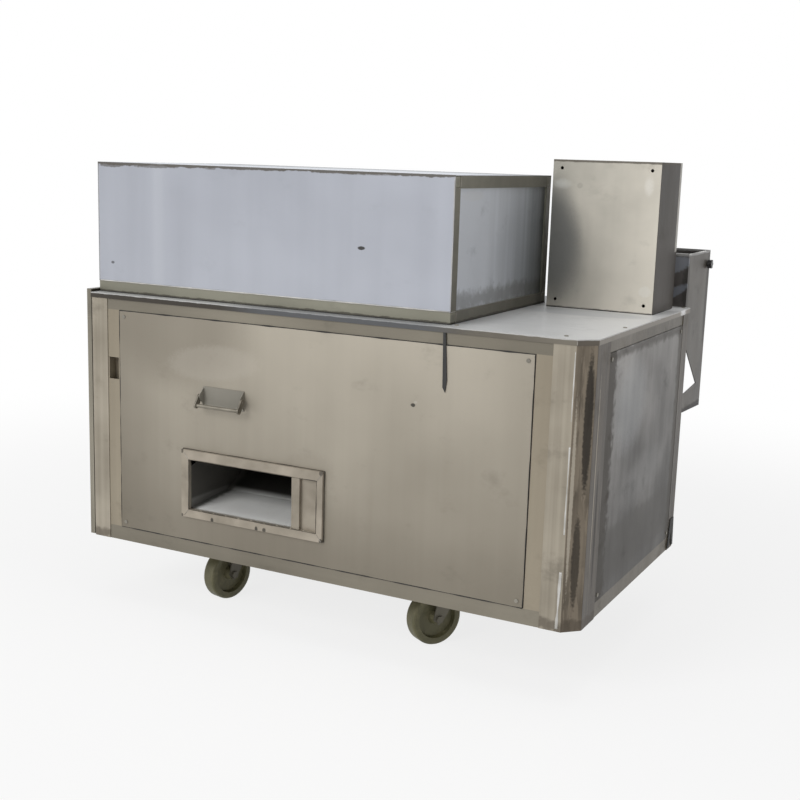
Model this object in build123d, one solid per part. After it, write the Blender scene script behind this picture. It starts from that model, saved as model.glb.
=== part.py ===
"""Motor-driven stone-fruit pitting machine: a sheet-steel cabinet on castors with a punch head under a hood.

Every sub-part is modelled in the cabinet's own frame: x runs along the front face from its left end,
y runs back from the front face, and z runs up from the floor. The last function moves each one so
that the part's origin is on the floor under the middle of the whole machine.
Millimetres throughout. A name that ends in _GAP or _FIT is a clearance.
"""

from build123d import *
from math import asin, atan2, cos, degrees, hypot, pi, radians, sin, tan
import os

# ---------------------------------------------------------------- clearances
SEAT_GAP = 0.3  # between a piece and what it is seated on
SHAFT_FIT = 0.05  # radial play of a shaft in its bearing
SLIDE_GAP = 0.3  # play of a sliding plate or a turning face
OPEN_PIVOT_GAP = 0.5  # between the crank boss and the rod, where the linkage is opened

# ---------------------------------------------------------------- cabinet
CABINET_LENGTH = 1460.0
CABINET_DEPTH = 830.0
CABINET_HEIGHT = 700.0
CASTOR_HEIGHT = 190.0
RAIL = 40.0
RAIL_WALL = 2.0
POST_FACE = 56.0
POST_SIDE = 92.0
POST_RETURN = 20.0
POST_SHEET = 2.0
CORNER_CHAMFER = 38.0
STILE_WIDTH = 41.0
STILE_DEPTH = 30.0
PANEL_SHEET = 1.5
PANEL_DEPTH = 18.0
PANEL_PROUD = 1.5
PANEL_JOINT = 1.0
PANEL_SHADOW = 2.2
SIDE_COVER = 15.0
SIDE_COVER_RISE = 8.0
DECK_SHEET = 3.0
DECK_LIP = 14.0
LIP_SHEET = 2.0
LIP_GAP = 0.5
LATCH_SLOT_HEIGHT = 61.0
LATCH_SLOT_RISE = 463.0
LATCH_SLOT_EDGE = 4.0
WINDOW_BEFORE = 260.0
WINDOW_AFTER = 190.0
TAIL_RAIL = 10.0
WINDOW_FRONT = 80.0
WINDOW_BACK = 620.0
PAN_MARGIN = 23.0

# ---------------------------------------------------------------- castors
CASTOR_LEFT = 326.0
CASTOR_RIGHT = 452.0
CASTOR_INSET = 250.0
CASTOR_TURN = {"front_left": 77.0, "front_right": 58.0, "rear_left": 120.0, "rear_right": 80.0}
BEARER_WIDTH = 110.0
CASTOR_PLATE = (104.0, 84.0, 4.0)
CASTOR_HOLES = (84.0, 64.0)
CASTOR_HOLE_RADIUS = 4.5
SWIVEL_RADIUS = 34.0
SWIVEL_HEIGHT = 9.0
CROWN_THICKNESS = 5.0
FORK_SHEET = 4.0
FORK_INSIDE = 52.0
TRAIL = 42.0
WHEEL_RADIUS = 75.0
WHEEL_WIDTH = 40.0
WHEEL_SHOULDER = 6.0
WHEEL_WEB = 16.0
WHEEL_RIM_RADIUS = 56.0
HUB_RADIUS = 20.0
AXLE_RADIUS = 6.0
AXLE_HEAD = 11.0

# ---------------------------------------------------------------- discharge opening and its gate
CUT_LEFT = 340.0
CUT_RIGHT = 745.0
CUT_BOTTOM = 131.0
CUT_HEIGHT = 140.0
TRIM_SIDE = 24.0
TRIM_END = 18.0
TRIM_TOP = 26.0
TRIM_BOTTOM = 22.0
TRIM_DEPTH = 10.0
GATE_SHEET = 2.0
GATE_LAP = 10.0
GATE_END_LAP = 25.0
GATE_STILE = 24.0
GATE_OPENING = 328.0
GATE_GRIP = 9.0
RUNNER_HEIGHT = 12.0
RUNNER_SLOT = 8.0
RUNNER_WALL = 2.0
CHUTE_SHEET = 1.5
CHUTE_LIP_RUN = 170.0
CHUTE_LIP_RISE = 15.0
CHUTE_RUN = 300.0
CHUTE_RISE = 170.0
CHUTE_BACK = 26.0
CHUTE_WALL = 120.0
PIT_WALL = 14.0
NIB_PITCH = 41.0
NIB_WIDTH = 9.0
NIB_HEIGHT = 3.5
NIB_DEPTH = 2.5

# ---------------------------------------------------------------- handle and strap on the front
HANDLE_LEFT = 378.0
HANDLE_SPAN = 141.0
HANDLE_RISE = 450.0
HANDLE_REACH = 38.0
HANDLE_BAR_RADIUS = 5.0
HANDLE_PLATE = 54.0
HANDLE_SHEET = 2.0
HANDLE_CHEEK = 8.0
HANDLE_CHEEK_WIDTH = 5.0
HANDLE_PIN = 3.0
BAIL_LENGTH = 26.0
BAIL_LEAN = 35.0
STRAP_AFTER = 3.0
STRAP_LENGTH = 118.0
STRAP_WIDTH = 13.0
STRAP_SHEET = 3.0
BUFFER_WIDTH = 54.0
BUFFER_HEIGHT = 84.0
BUFFER_RISE = 6.0

# ---------------------------------------------------------------- hood
HOOD_LEFT = 2.0
HOOD_FRONT = 35.0
HOOD_DEPTH = 630.0
HOOD_HEIGHT = 355.0
HOOD_TUBE = 30.0
HOOD_TUBE_WALL = 1.5
HOOD_SHEET = 1.5
HOOD_RECESS = 5.0
HOOD_DOOR_DEPTH = 15.0
HOOD_DOOR_MARGIN = 8.0
HINGE_RADIUS = 6.0
HINGE_PIN = 3.0
HINGE_KNUCKLE = 26.0
HINGE_LEAF = 2.0
HINGE_INSET = 136.0
DOOR_PULL = (120.0, 24.0)

# ---------------------------------------------------------------- control box
BOX_END = 38.0
BOX_CLEAR = 37.0  # between the hood and the control box
BOX_FRONT = 580.0
BOX_WIDTH = 300.0
BOX_DEPTH = 180.0
BOX_HEIGHT = 400.0
BOX_SHEET = 1.5
BOX_DOOR = 18.0
BOX_RIM = 14.0
BOX_HOLES = (250.0, 355.0)
BOX_HOLE_RADIUS = 4.5
BOX_FASCIA = 158.0
BOX_HINGES = (190.0, 340.0)
BUTTON_RADIUS = 11.0
BUTTON_TRAVEL = 4.0
BUTTON_CAP = 5.0
BUTTON_STEM = 6.0
BUTTON_STEM_LENGTH = 12.0
COLLAR_RADIUS = 15.5
COLLAR_HEIGHT = 4.0
STOP_DOME = 20.0
STOP_DOME_HEIGHT = 12.0
KNOB_RADIUS = 14.0
KNOB_HEIGHT = 16.0
LATCH_RADIUS = 10.0
LATCH_CAM = 32.0
LATCH_INSET = 16.0
LATCH_GAP = 1.2  # between the cam and the rim that it turns behind
GEAR_MARGIN = (22.0, 42.0)
GEAR_SHEET = 3.0
GEAR_SPACE = 20.0
GEAR_GAP = 15.0
GEAR_ROW = ((90.0, 110.0, 160.0), (60.0, 70.0, 90.0), (40.0, 78.0, 90.0))
TERMINALS = (34.0, 40.0)

# ---------------------------------------------------------------- conveyor of moulds
CONVEYOR_Y = 350.0
HEAD_X = 430.0
SLAT_PITCH = 70.0
RUN_SLATS = 9
TURN_SLATS = 3
SLAT_GAP = 4.0
SLAT_THICKNESS = 14.0
SLAT_HALF = 184.7
MOULD_DROP = 170.0
CUP_ROWS = 6
CUP_PITCH = 60.0
CUP_RADIUS = 13.0
CHAIN_WIDTH = 7.0
CHAIN_HEIGHT = 8.0
TRACK_PLATE = 6.0
TRACK_GAP = 13.0
TRACK_OVERHANG = 50.0
FRUIT_ROOM = 42.0
NOTCH_SIDE = 5.0
NOTCH_RISE = 44.0
SHAFT_RADIUS = 15.0
SHAFT_END = 4.0
BEARING_RADIUS = 34.0
BEARING_HEIGHT = 16.0
SPROCKET_TEETH = 10
TOOTH_DEPTH = 8.0
BRUSH_BACK = 100.0
BRUSH_RADIUS = 42.0
BRUSH_CORE = 10.0
BRUSH_ROWS = 14

# ---------------------------------------------------------------- punch head
PUNCH_SLAT = 2  # the punch stands between this run slat and the next
STRIPPER_SHEET = 12.0
COLUMN_RADIUS = 15.0
COLUMN_OFFSET = 196.0
HEAD_WIDTH = 120.0
HEAD_HALF = 222.0
HEAD_PLATE = 12.0
HEAD_RISE = 200.0
BEAM_RISE = 140.0
BEAM_THICKNESS = 36.0
BEAM_HALF = 225.0
NEEDLE_RADIUS = 4.0
NEEDLE_TIP = 1.5
NEEDLE_POINT = 14.0
NEEDLE_CLEAR = 13.0
STRIPPER_HOLE = 7.0
CRANK_RISE = 56.0
CRANK_THROW = 40.0
CRANK_DISC = 58.0
CRANK_DISC_WIDTH = 16.0
CRANK_BOSS = 14.0
CRANK_BOSS_HEIGHT = 3.5
ROD_THICKNESS = 14.0
ROD_BIG_END = 24.0
ROD_SMALL_END = 20.0
ROD_SHANK = 22.0
WRIST_PIN = 9.0
WRIST_SPACER = 15.0
PILLOW_OFFSET = 150.0
PILLOW_WIDTH = 30.0
PILLOW_LENGTH = 104.0
PILLOW_FOOT = 16.0
DRIVE_WIDTH = 10.0
DRIVE_SPROCKET = 46.0
DRIVE_CHAIN = 6.0
MOTOR_END = 125.0
MOTOR_RISE = 150.0
MOTOR_SPROCKET = 34.0
DRIVE_MOTOR = (58.0, 84.0, 56.0, 150.0)  # gearbox radius and length, motor radius and length
BELT_MOTOR = (46.0, 60.0, 44.0, 100.0)
TERMINAL_INSET = 10.0
STAND = (100.0, 70.0, 4.0)
STAND_FOOT = (132.0, 80.0, 6.0)

# ---------------------------------------------------------------- rear hopper, chutes and drawer
HOPPER_GAP = 5.0  # between the hood and the hopper, clear of the rear flap
HOPPER_END = 14.0
HOPPER_DEPTH = 243.0
HOPPER_RISE = 150.0
HOPPER_SHEET = 3.0
HOPPER_DROP = 470.0
CHEEK_RAKE = 10.0
CHEEK_WINDOW = (22.0, 260.0, 44.0, 126.0)  # front corner, foot, apex, peak
CHEEK_BACK = 58.0
FEED_BOARD = 41.0
FEED_LIP = 47.0
FEED_HEIGHT = 76.0
FEED_SLOPE = 9.6
KNOB_BACK = 26.0
KNOB_DROP = 40.0
KNOB_SIZE = 13.0
DRAWER_BEFORE = 105.0
DRAWER_WIDTH = 215.0
DRAWER_DEPTH = 240.0
DRAWER_HEIGHT = 150.0
DRAWER_SHEET = 1.5
DRAWER_FLANGE = 12.0
DRAWER_PULL = (90.0, 26.0, 15.0)
PULL_SHEET = 3.0
SCREW_RADIUS = 5.0
SCREW_HEIGHT = 2.0

# ---------------------------------------------------------------- places worked out from the sizes
BODY_Z = CASTOR_HEIGHT
DECK_Z = BODY_Z + CABINET_HEIGHT
DECK_UNDER = DECK_Z - DECK_SHEET
EDGE = LIP_SHEET + LIP_GAP
RAIL_FACE = EDGE + POST_SHEET
PANEL_FACE = RAIL_FACE - PANEL_PROUD
RIGHT_POST = EDGE + CORNER_CHAMFER
RAIL_TOP = BODY_Z + RAIL
TOP_RAIL_Z = DECK_UNDER - RAIL
LEFT_STILE = POST_FACE + SEAT_GAP
RIGHT_STILE = CABINET_LENGTH - RIGHT_POST - POST_FACE - SEAT_GAP - STILE_WIDTH
PANEL_LEFT = LEFT_STILE + STILE_WIDTH + PANEL_JOINT
PANEL_RIGHT = RIGHT_STILE - PANEL_SHADOW
PANEL_Z = (RAIL_TOP + SEAT_GAP, TOP_RAIL_Z - PANEL_JOINT)
CASTOR_X = (CASTOR_LEFT, CABINET_LENGTH - CASTOR_RIGHT)
WHEEL_CASTORS = {
    "front_left": (CASTOR_X[0], CASTOR_INSET),
    "front_right": (CASTOR_X[1], CASTOR_INSET),
    "rear_left": (CASTOR_X[0], CABINET_DEPTH - CASTOR_INSET),
    "rear_right": (CASTOR_X[1], CABINET_DEPTH - CASTOR_INSET),
}
CUT_Z = (BODY_Z + CUT_BOTTOM, BODY_Z + CUT_BOTTOM + CUT_HEIGHT)
GATE_Y = PANEL_FACE + PANEL_SHEET + SLIDE_GAP + RUNNER_WALL / 4
GATE_LEFT = CUT_LEFT + GATE_OPENING
GATE_TRAVEL = GATE_OPENING - LIP_GAP
RUNNER_BACK = GATE_Y + GATE_SHEET + SLIDE_GAP + RUNNER_WALL
CHUTE_Y = RUNNER_BACK + LIP_GAP
HOOD_TOP = DECK_Z + HOOD_HEIGHT
HOOD_BACK = HOOD_FRONT + HOOD_DEPTH
BOX_LEFT = CABINET_LENGTH - BOX_END - BOX_WIDTH
HOOD_RIGHT = BOX_LEFT - BOX_CLEAR
HOOD_MIDDLE = (HOOD_LEFT + HOOD_RIGHT) / 2
HOOD_HINGES = (
    HOOD_LEFT + HINGE_INSET,
    HOOD_MIDDLE - HINGE_KNUCKLE / 2,
    HOOD_RIGHT - HINGE_INSET - HINGE_KNUCKLE,
)
STRAP_X = HOOD_RIGHT + STRAP_AFTER
TUBE_FRONT = HOOD_FRONT + HOOD_SHEET
TUBE_BACK = HOOD_BACK - HOOD_SHEET
TUBE_TOP = HOOD_TOP - HOOD_SHEET
HOOD_AXIS = (TUBE_BACK + HINGE_LEAF + HINGE_RADIUS, TUBE_TOP - HOOD_TUBE / 3)
BOX_BACK = BOX_FRONT + BOX_DEPTH
BOX_TOP = DECK_Z + BOX_HEIGHT
BOX_FACE = BOX_BACK + SEAT_GAP + BOX_DOOR
BOX_AXIS = (BOX_LEFT - HINGE_RADIUS - SEAT_GAP, BOX_BACK + SEAT_GAP + BOX_DOOR / 2)
BOX_MIDDLE = BOX_LEFT + BOX_WIDTH / 2
FASCIA_TOP = DECK_Z + BOX_FASCIA
MOULD_Z = DECK_Z - MOULD_DROP
CHAIN_RADIUS = SLAT_PITCH / (2 * sin(pi / (2 * TURN_SLATS)))
SLAT_APOTHEM = CHAIN_RADIUS * cos(pi / (2 * TURN_SLATS))
SHAFT_Z = MOULD_Z - SLAT_THICKNESS - CHAIN_RADIUS
TAIL_X = HEAD_X + RUN_SLATS * SLAT_PITCH
CHAIN_OFFSET = SLAT_HALF + SEAT_GAP
TRACK_OFFSET = CHAIN_OFFSET + CHAIN_WIDTH + TRACK_GAP
TRACK_OUTER = TRACK_OFFSET + TRACK_PLATE
STRIPPER_Z = MOULD_Z + FRUIT_ROOM
PUNCH_X = HEAD_X + (PUNCH_SLAT + 1) * SLAT_PITCH
CROSS_RAILS = (PUNCH_X - WINDOW_BEFORE, PUNCH_X + WINDOW_AFTER, TAIL_X + TAIL_RAIL)
BRUSH_X = TAIL_X - BRUSH_BACK
DRAWER_LEFT = PUNCH_X - DRAWER_BEFORE
SHAFT_REACH = TRACK_OUTER + BEARING_HEIGHT + SHAFT_END
BRUSH_Z = MOULD_Z + 12.0 + BRUSH_RADIUS
BEAM_Z = DECK_Z + BEAM_RISE
WRIST_Z = BEAM_Z + BEAM_THICKNESS / 2
HEAD_Z = DECK_Z + HEAD_RISE
CRANK_Z = HEAD_Z + HEAD_PLATE + CRANK_RISE
ROD_LENGTH = CRANK_Z + CRANK_THROW - WRIST_Z
ROD_SWING = degrees(asin(CRANK_THROW / ROD_LENGTH))
DISC_OFFSET = HEAD_HALF + 6.0
ROD_OFFSET = DISC_OFFSET + CRANK_DISC_WIDTH + CRANK_BOSS_HEIGHT + OPEN_PIVOT_GAP
NEEDLE_LENGTH = BEAM_Z - STRIPPER_Z - NEEDLE_CLEAR
NOTCH_HALF = HEAD_WIDTH / 2 + NOTCH_SIDE
MOTOR_X = HOOD_RIGHT - MOTOR_END
MOTOR_Z = DECK_Z + MOTOR_RISE
HOPPER_LEFT = HOOD_RIGHT + HOPPER_GAP
HOPPER_RIGHT = CABINET_LENGTH - HOPPER_END
HOPPER_BACK = CABINET_DEPTH + HOPPER_DEPTH
HOPPER_TOP = DECK_Z + HOPPER_RISE
FEED_Z = TOP_RAIL_Z - FEED_HEIGHT

# the origin is under the middle of the whole machine, hopper, handle and side cover included
LEFT_END = -SIDE_COVER
RIGHT_END = CABINET_LENGTH
FRONT_END = PANEL_FACE - HANDLE_REACH
BACK_END = HOPPER_BACK
ORIGIN = ((LEFT_END + RIGHT_END) / 2, (FRONT_END + BACK_END) / 2)


# ---------------------------------------------------------------- shapes used everywhere
def block(x0, x1, y0, y1, z0, z1):
    """A square block between two corners."""
    return Pos(x0, y0, z0) * Box(x1 - x0, y1 - y0, z1 - z0, align=(Align.MIN, Align.MIN, Align.MIN))


def tube(axis, x0, x1, y0, y1, z0, z1, wall):
    """A square tube that is open at both ends along its axis."""
    inset = [-1.0 if axis == name else wall for name in "XYZ"]
    core = block(x0 + inset[0], x1 - inset[0], y0 + inset[1], y1 - inset[1], z0 + inset[2], z1 - inset[2])
    return block(x0, x1, y0, y1, z0, z1) - core


def round_bar(axis, x, y, z, length, radius):
    """A cylinder that starts at a point and runs along +axis."""
    turn = {"X": Rotation(0, 90, 0), "Y": Rotation(-90, 0, 0), "Z": Rotation(0, 0, 0)}[axis]
    return Pos(x, y, z) * turn * Cylinder(radius, length, align=(Align.CENTER, Align.CENTER, Align.MIN))


def across(face, y0, y1):
    """Carries a face drawn in (x, z) from y0 to y1."""
    plane = Plane(origin=(0, y0, 0), x_dir=(1, 0, 0), z_dir=(0, -1, 0))
    return extrude(plane * face, amount=y1 - y0, dir=(0, 1, 0))


def along(face, x0, x1):
    """Carries a face drawn in (y, z) from x0 to x1."""
    plane = Plane(origin=(x0, 0, 0), x_dir=(0, 1, 0), z_dir=(1, 0, 0))
    return extrude(plane * face, amount=x1 - x0, dir=(1, 0, 0))


def upward(face, z0, z1):
    """Carries a face drawn in (x, y) from z0 to z1."""
    return extrude(Pos(0, 0, z0) * face, amount=z1 - z0, dir=(0, 0, 1))


def outline(*points):
    """A flat face inside a closed run of points."""
    return make_face(Polyline(*points, close=True))


def folded(points, sheet):
    """The section of a sheet bent along points, its thickness on the left, with mitred folds."""
    path = [Vector(*point) for point in points]
    ways = [(b - a).normalized() for a, b in zip(path, path[1:])]
    sides = [Vector(-way.Y, way.X) for way in ways]
    bends = [(a + b) * (sheet / (1 + a.dot(b))) for a, b in zip(sides, sides[1:])]
    steps = [sides[0] * sheet] + bends + [sides[-1] * sheet]
    back = [point + step for point, step in zip(path, steps)]
    return outline(*[(p.X, p.Y) for p in path + back[::-1]])


def tray(x0, x1, y0, y1, z0, z1, sheet, open_side):
    """A shallow box of sheet that is open on one side, such as a panel with turned-in edges."""
    low = [x0 + sheet, y0 + sheet, z0 + sheet]
    high = [x1 - sheet, y1 - sheet, z1 - sheet]
    axis = "XYZ".index(open_side[1])
    if open_side[0] == "+":
        high[axis] = (x1, y1, z1)[axis] + 1.0
    else:
        low[axis] = (x0, y0, z0)[axis] - 1.0
    return block(x0, x1, y0, y1, z0, z1) - block(low[0], high[0], low[1], high[1], low[2], high[2])


def sprocket(teeth, radius, depth):
    """The outline of a chain wheel with flat-flanked teeth, round the plane's own origin."""
    step = 2 * pi / teeth
    places = [(-0.42, radius - depth), (-0.2, radius), (0.2, radius), (0.42, radius - depth)]
    return outline(
        *[
            (reach * cos((tooth + turn) * step), reach * sin((tooth + turn) * step))
            for tooth in range(teeth)
            for turn, reach in places
        ]
    )


def loop(start, start_radius, end, end_radius):
    """The face inside a belt or chain that goes round two wheels, drawn in (x, z)."""
    dx, dz = end[0] - start[0], end[1] - start[1]
    lean = atan2(dz, dx)
    open_angle = asin((start_radius - end_radius) / hypot(dx, dz))
    corners = []
    first, last = (start, start_radius), (end, end_radius)
    for (centre, radius), side in ((first, 1), (last, 1), (last, -1), (first, -1)):
        turn = lean + side * (pi / 2 - open_angle)
        corners.append((centre[0] + radius * cos(turn), centre[1] + radius * sin(turn)))
    far = (end[0] + end_radius * cos(lean), end[1] + end_radius * sin(lean))
    near = (start[0] - start_radius * cos(lean), start[1] - start_radius * sin(lean))
    edge = [
        Line(corners[0], corners[1]),
        ThreePointArc(corners[1], far, corners[2]),
        Line(corners[2], corners[3]),
        ThreePointArc(corners[3], near, corners[0]),
    ]
    return make_face(edge)


# ---------------------------------------------------------------- cabinet frame
def corner_post(chamfer, side):
    """A post folded from sheet for the front left corner, with turned-in edges."""
    corner = [(EDGE, EDGE + chamfer), (EDGE + chamfer, EDGE)] if chamfer else [(EDGE, EDGE)]
    far_x = EDGE + chamfer + POST_FACE if chamfer else POST_FACE
    far_y = EDGE + chamfer + side if chamfer else side
    path = [(EDGE + POST_RETURN, far_y), (EDGE, far_y), *corner, (far_x, EDGE), (far_x, EDGE + POST_RETURN)]
    return upward(folded(path, POST_SHEET), BODY_Z, DECK_UNDER)


def to_right(shape):
    """The same shape at the right end of the cabinet."""
    return Pos(CABINET_LENGTH, 0, 0) * mirror(shape, about=Plane.YZ)


def to_back(shape):
    """The same shape at the back of the cabinet."""
    return Pos(0, CABINET_DEPTH, 0) * mirror(shape, about=Plane.XZ)


def ring_rails(z0):
    """Four square tubes between the posts, front, back, left and right."""
    z1 = z0 + RAIL
    x0 = POST_FACE + SEAT_GAP
    front = tube("X", x0, RIGHT_STILE + STILE_WIDTH, RAIL_FACE, RAIL_FACE + RAIL, z0, z1, RAIL_WALL)
    back = tube("X", x0, CABINET_LENGTH - x0, RAIL_FACE, RAIL_FACE + RAIL, z0, z1, RAIL_WALL)
    left = tube("Y", RAIL_FACE, RAIL_FACE + RAIL, x0, CABINET_DEPTH - x0, z0, z1, RAIL_WALL)
    y0 = RIGHT_POST + POST_SIDE + SEAT_GAP
    right = tube("Y", RAIL_FACE, RAIL_FACE + RAIL, y0, CABINET_DEPTH - x0, z0, z1, RAIL_WALL)
    return [front, to_back(back), left, to_right(right)]


def base_rails():
    """The base ring and the two cross tubes that the castors are bolted to."""
    y0 = RAIL_FACE + RAIL + SEAT_GAP
    half = BEARER_WIDTH / 2
    bearers = [
        tube("Y", x - half, x + half, y0, CABINET_DEPTH - y0, BODY_Z, RAIL_TOP, RAIL_WALL) for x in CASTOR_X
    ]
    return ring_rails(BODY_Z) + bearers


def top_rails():
    """The ring under the deck and the cross tubes that carry the deck's window and the conveyor."""
    y0 = RAIL_FACE + RAIL + SEAT_GAP
    y1 = CABINET_DEPTH - y0
    crosses = [tube("Y", x, x + RAIL, y0, y1, TOP_RAIL_Z, DECK_UNDER, RAIL_WALL) for x in CROSS_RAILS]
    return ring_rails(TOP_RAIL_Z) + crosses


def stiles():
    """The two uprights beside the front panel; the left one has a slot for a latch."""
    pair = [
        tube("Z", x, x + STILE_WIDTH, RAIL_FACE, RAIL_FACE + STILE_DEPTH, RAIL_TOP, TOP_RAIL_Z, RAIL_WALL)
        for x in (LEFT_STILE, RIGHT_STILE)
    ]
    z0 = BODY_Z + LATCH_SLOT_RISE
    slot = block(
        LEFT_STILE + LATCH_SLOT_EDGE,
        LEFT_STILE + STILE_WIDTH - LATCH_SLOT_EDGE,
        0,
        RAIL_FACE + RAIL_WALL + 1.0,
        z0,
        z0 + LATCH_SLOT_HEIGHT,
    )
    return [pair[0] - slot, pair[1]]


def deck_plate():
    """The top sheet with its turned-down lip, cut corner and the window under the punch head."""
    plate = block(0, CABINET_LENGTH, 0, CABINET_DEPTH, DECK_Z - DECK_LIP, DECK_Z)
    x1, y1, low = CABINET_LENGTH, CABINET_DEPTH, DECK_Z - 2 * DECK_LIP
    under = block(LIP_SHEET, x1 - LIP_SHEET, LIP_SHEET, y1 - LIP_SHEET, low, DECK_UNDER)
    leg = 2 * EDGE + CORNER_CHAMFER - (LIP_SHEET + LIP_GAP) * 2**0.5
    inner = leg + LIP_SHEET * 2**0.5
    corner = upward(outline((x1 - leg, 0), (x1, 0), (x1, leg)), DECK_Z - DECK_LIP, DECK_Z)
    keep = upward(outline((x1 - inner, 0), (x1, 0), (x1, inner)), low, DECK_UNDER)
    window = block(CROSS_RAILS[0] + RAIL, CROSS_RAILS[1], WINDOW_FRONT, WINDOW_BACK, low, DECK_Z + 1.0)
    return plate - (under - keep) - corner - window


def floor_pan():
    """The sheet that closes the bottom and lies on the base ring."""
    return block(
        PAN_MARGIN + EDGE,
        CABINET_LENGTH - PAN_MARGIN - EDGE,
        RAIL_FACE + STILE_DEPTH + SEAT_GAP,
        CABINET_DEPTH - RAIL_FACE - PAN_MARGIN,
        RAIL_TOP,
        RAIL_TOP + PANEL_SHEET,
    )


# ---------------------------------------------------------------- cabinet panels
def front_panel():
    """The large front sheet with turned-in edges and the cut-out of the discharge opening."""
    z0, z1 = PANEL_Z
    panel = tray(PANEL_LEFT, PANEL_RIGHT, PANEL_FACE, PANEL_FACE + PANEL_DEPTH, z0, z1, PANEL_SHEET, "+Y")
    return panel - block(CUT_LEFT, CUT_RIGHT, 0, PANEL_FACE + PANEL_SHEET + 1.0, CUT_Z[0], CUT_Z[1])


def right_panel():
    """The right side sheet between its two posts."""
    z0, z1 = PANEL_Z
    x1 = CABINET_LENGTH - PANEL_FACE
    y0 = RIGHT_POST + POST_SIDE + PANEL_JOINT
    return tray(x1 - PANEL_DEPTH, x1, y0, CABINET_DEPTH - POST_FACE - PANEL_JOINT, z0, z1, PANEL_SHEET, "-X")


def left_cover():
    """The deep cover that hangs over the whole left end."""
    top = DECK_Z + SIDE_COVER_RISE
    return tray(-SIDE_COVER, -SEAT_GAP, EDGE, CABINET_DEPTH - EDGE, BODY_Z + EDGE, top, PANEL_SHEET, "+X")


def rear_panel():
    """The back sheet, open where fruit is fed in and where the pit drawer slides out."""
    y0 = CABINET_DEPTH - RAIL_FACE
    z0, z1 = BODY_Z + RAIL / 2, DECK_UNDER - RAIL / 4
    x0, x1, y1 = POST_FACE + PANEL_JOINT, CABINET_LENGTH - POST_FACE - PANEL_JOINT, y0 + PANEL_SHEET
    sheet = block(x0, x1, y0, y1, z0, z1)
    front, back = y0 - 1.0, y1 + 1.0
    feed = block(HOPPER_LEFT + FEED_LIP / 2, HOPPER_RIGHT - FEED_LIP, front, back, FEED_Z, TOP_RAIL_Z)
    x0, x1 = DRAWER_LEFT - PANEL_JOINT, DRAWER_LEFT + DRAWER_WIDTH + PANEL_JOINT
    low = RAIL_TOP + PANEL_SHEET
    drawer = block(x0, x1, front, back, low, low + SEAT_GAP + DRAWER_HEIGHT + PANEL_JOINT)
    return sheet - feed - drawer


def discharge_trim():
    """The frame round the cut-out with nibs along its lower edge, and the gate's two slotted runners."""
    x0, x1 = CUT_LEFT - TRIM_SIDE, CUT_RIGHT + TRIM_END
    z0, z1 = CUT_Z[0] - TRIM_BOTTOM, CUT_Z[1] + TRIM_TOP
    y0 = PANEL_FACE - TRIM_DEPTH
    ring = block(x0, x1, y0, PANEL_FACE, z0, z1)
    ring -= block(CUT_LEFT, CUT_RIGHT, y0 - 1.0, PANEL_FACE + 1.0, CUT_Z[0], CUT_Z[1])
    x, low, half = CUT_LEFT + NIB_PITCH, CUT_Z[0], NIB_WIDTH / 2
    while x < CUT_RIGHT - NIB_WIDTH:
        nib = outline((x - half, low), (x + half, low), (x, low + NIB_HEIGHT))
        ring += across(nib, y0, y0 + NIB_DEPTH)
        x += NIB_PITCH
    far = GATE_LEFT + gate_width() + GATE_LAP
    front = PANEL_FACE + PANEL_SHEET
    runners = []
    for edge, side in ((CUT_Z[0] - GATE_LAP, -1), (CUT_Z[1] + GATE_LAP, 1)):
        outer = edge + side * (SLIDE_GAP + RUNNER_HEIGHT - RUNNER_SLOT)
        low, high = sorted((outer, edge - side * RUNNER_SLOT))
        body = block(x0, far, front, RUNNER_BACK, low, high)
        low, high = sorted((edge + side * SLIDE_GAP, edge - side * 2 * RUNNER_SLOT))
        y1, y2 = GATE_Y - SLIDE_GAP, RUNNER_BACK - RUNNER_WALL
        runners.append(body - block(x0 - 1.0, far + 1.0, y1, y2, low, high))
    return [ring, *runners]


def gate_width():
    """The gate covers the whole cut-out when it is closed, and laps its right edge."""
    return CUT_RIGHT - CUT_LEFT - LIP_GAP + GATE_END_LAP


def discharge_gate():
    """The sliding plate, open as built, with the stile at its leading edge that is also its grip."""
    z0, z1 = CUT_Z[0] - GATE_LAP, CUT_Z[1] + GATE_LAP
    plate = block(GATE_LEFT, GATE_LEFT + gate_width(), GATE_Y, GATE_Y + GATE_SHEET, z0, z1)
    y0 = GATE_Y - GATE_GRIP
    stile = tray(
        GATE_LEFT,
        GATE_LEFT + GATE_STILE,
        y0,
        GATE_Y,
        CUT_Z[0] + LIP_GAP,
        CUT_Z[1] - LIP_GAP,
        GATE_SHEET,
        "+Y",
    )
    return plate + stile


def chute_wall(x0, floor):
    """One side wall of the discharge chute, as high as the opening at the front."""
    (y0, z0), (y1, z1), (y2, z2), top = floor
    shoulder = (y2 - CHUTE_RUN / 3, top[1])
    wall = outline((y0, z0), (y1, z1), (y2, z2), top, shoulder, (y0, z0 + CHUTE_WALL))
    return along(wall, x0, x0 + CHUTE_SHEET)


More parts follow.
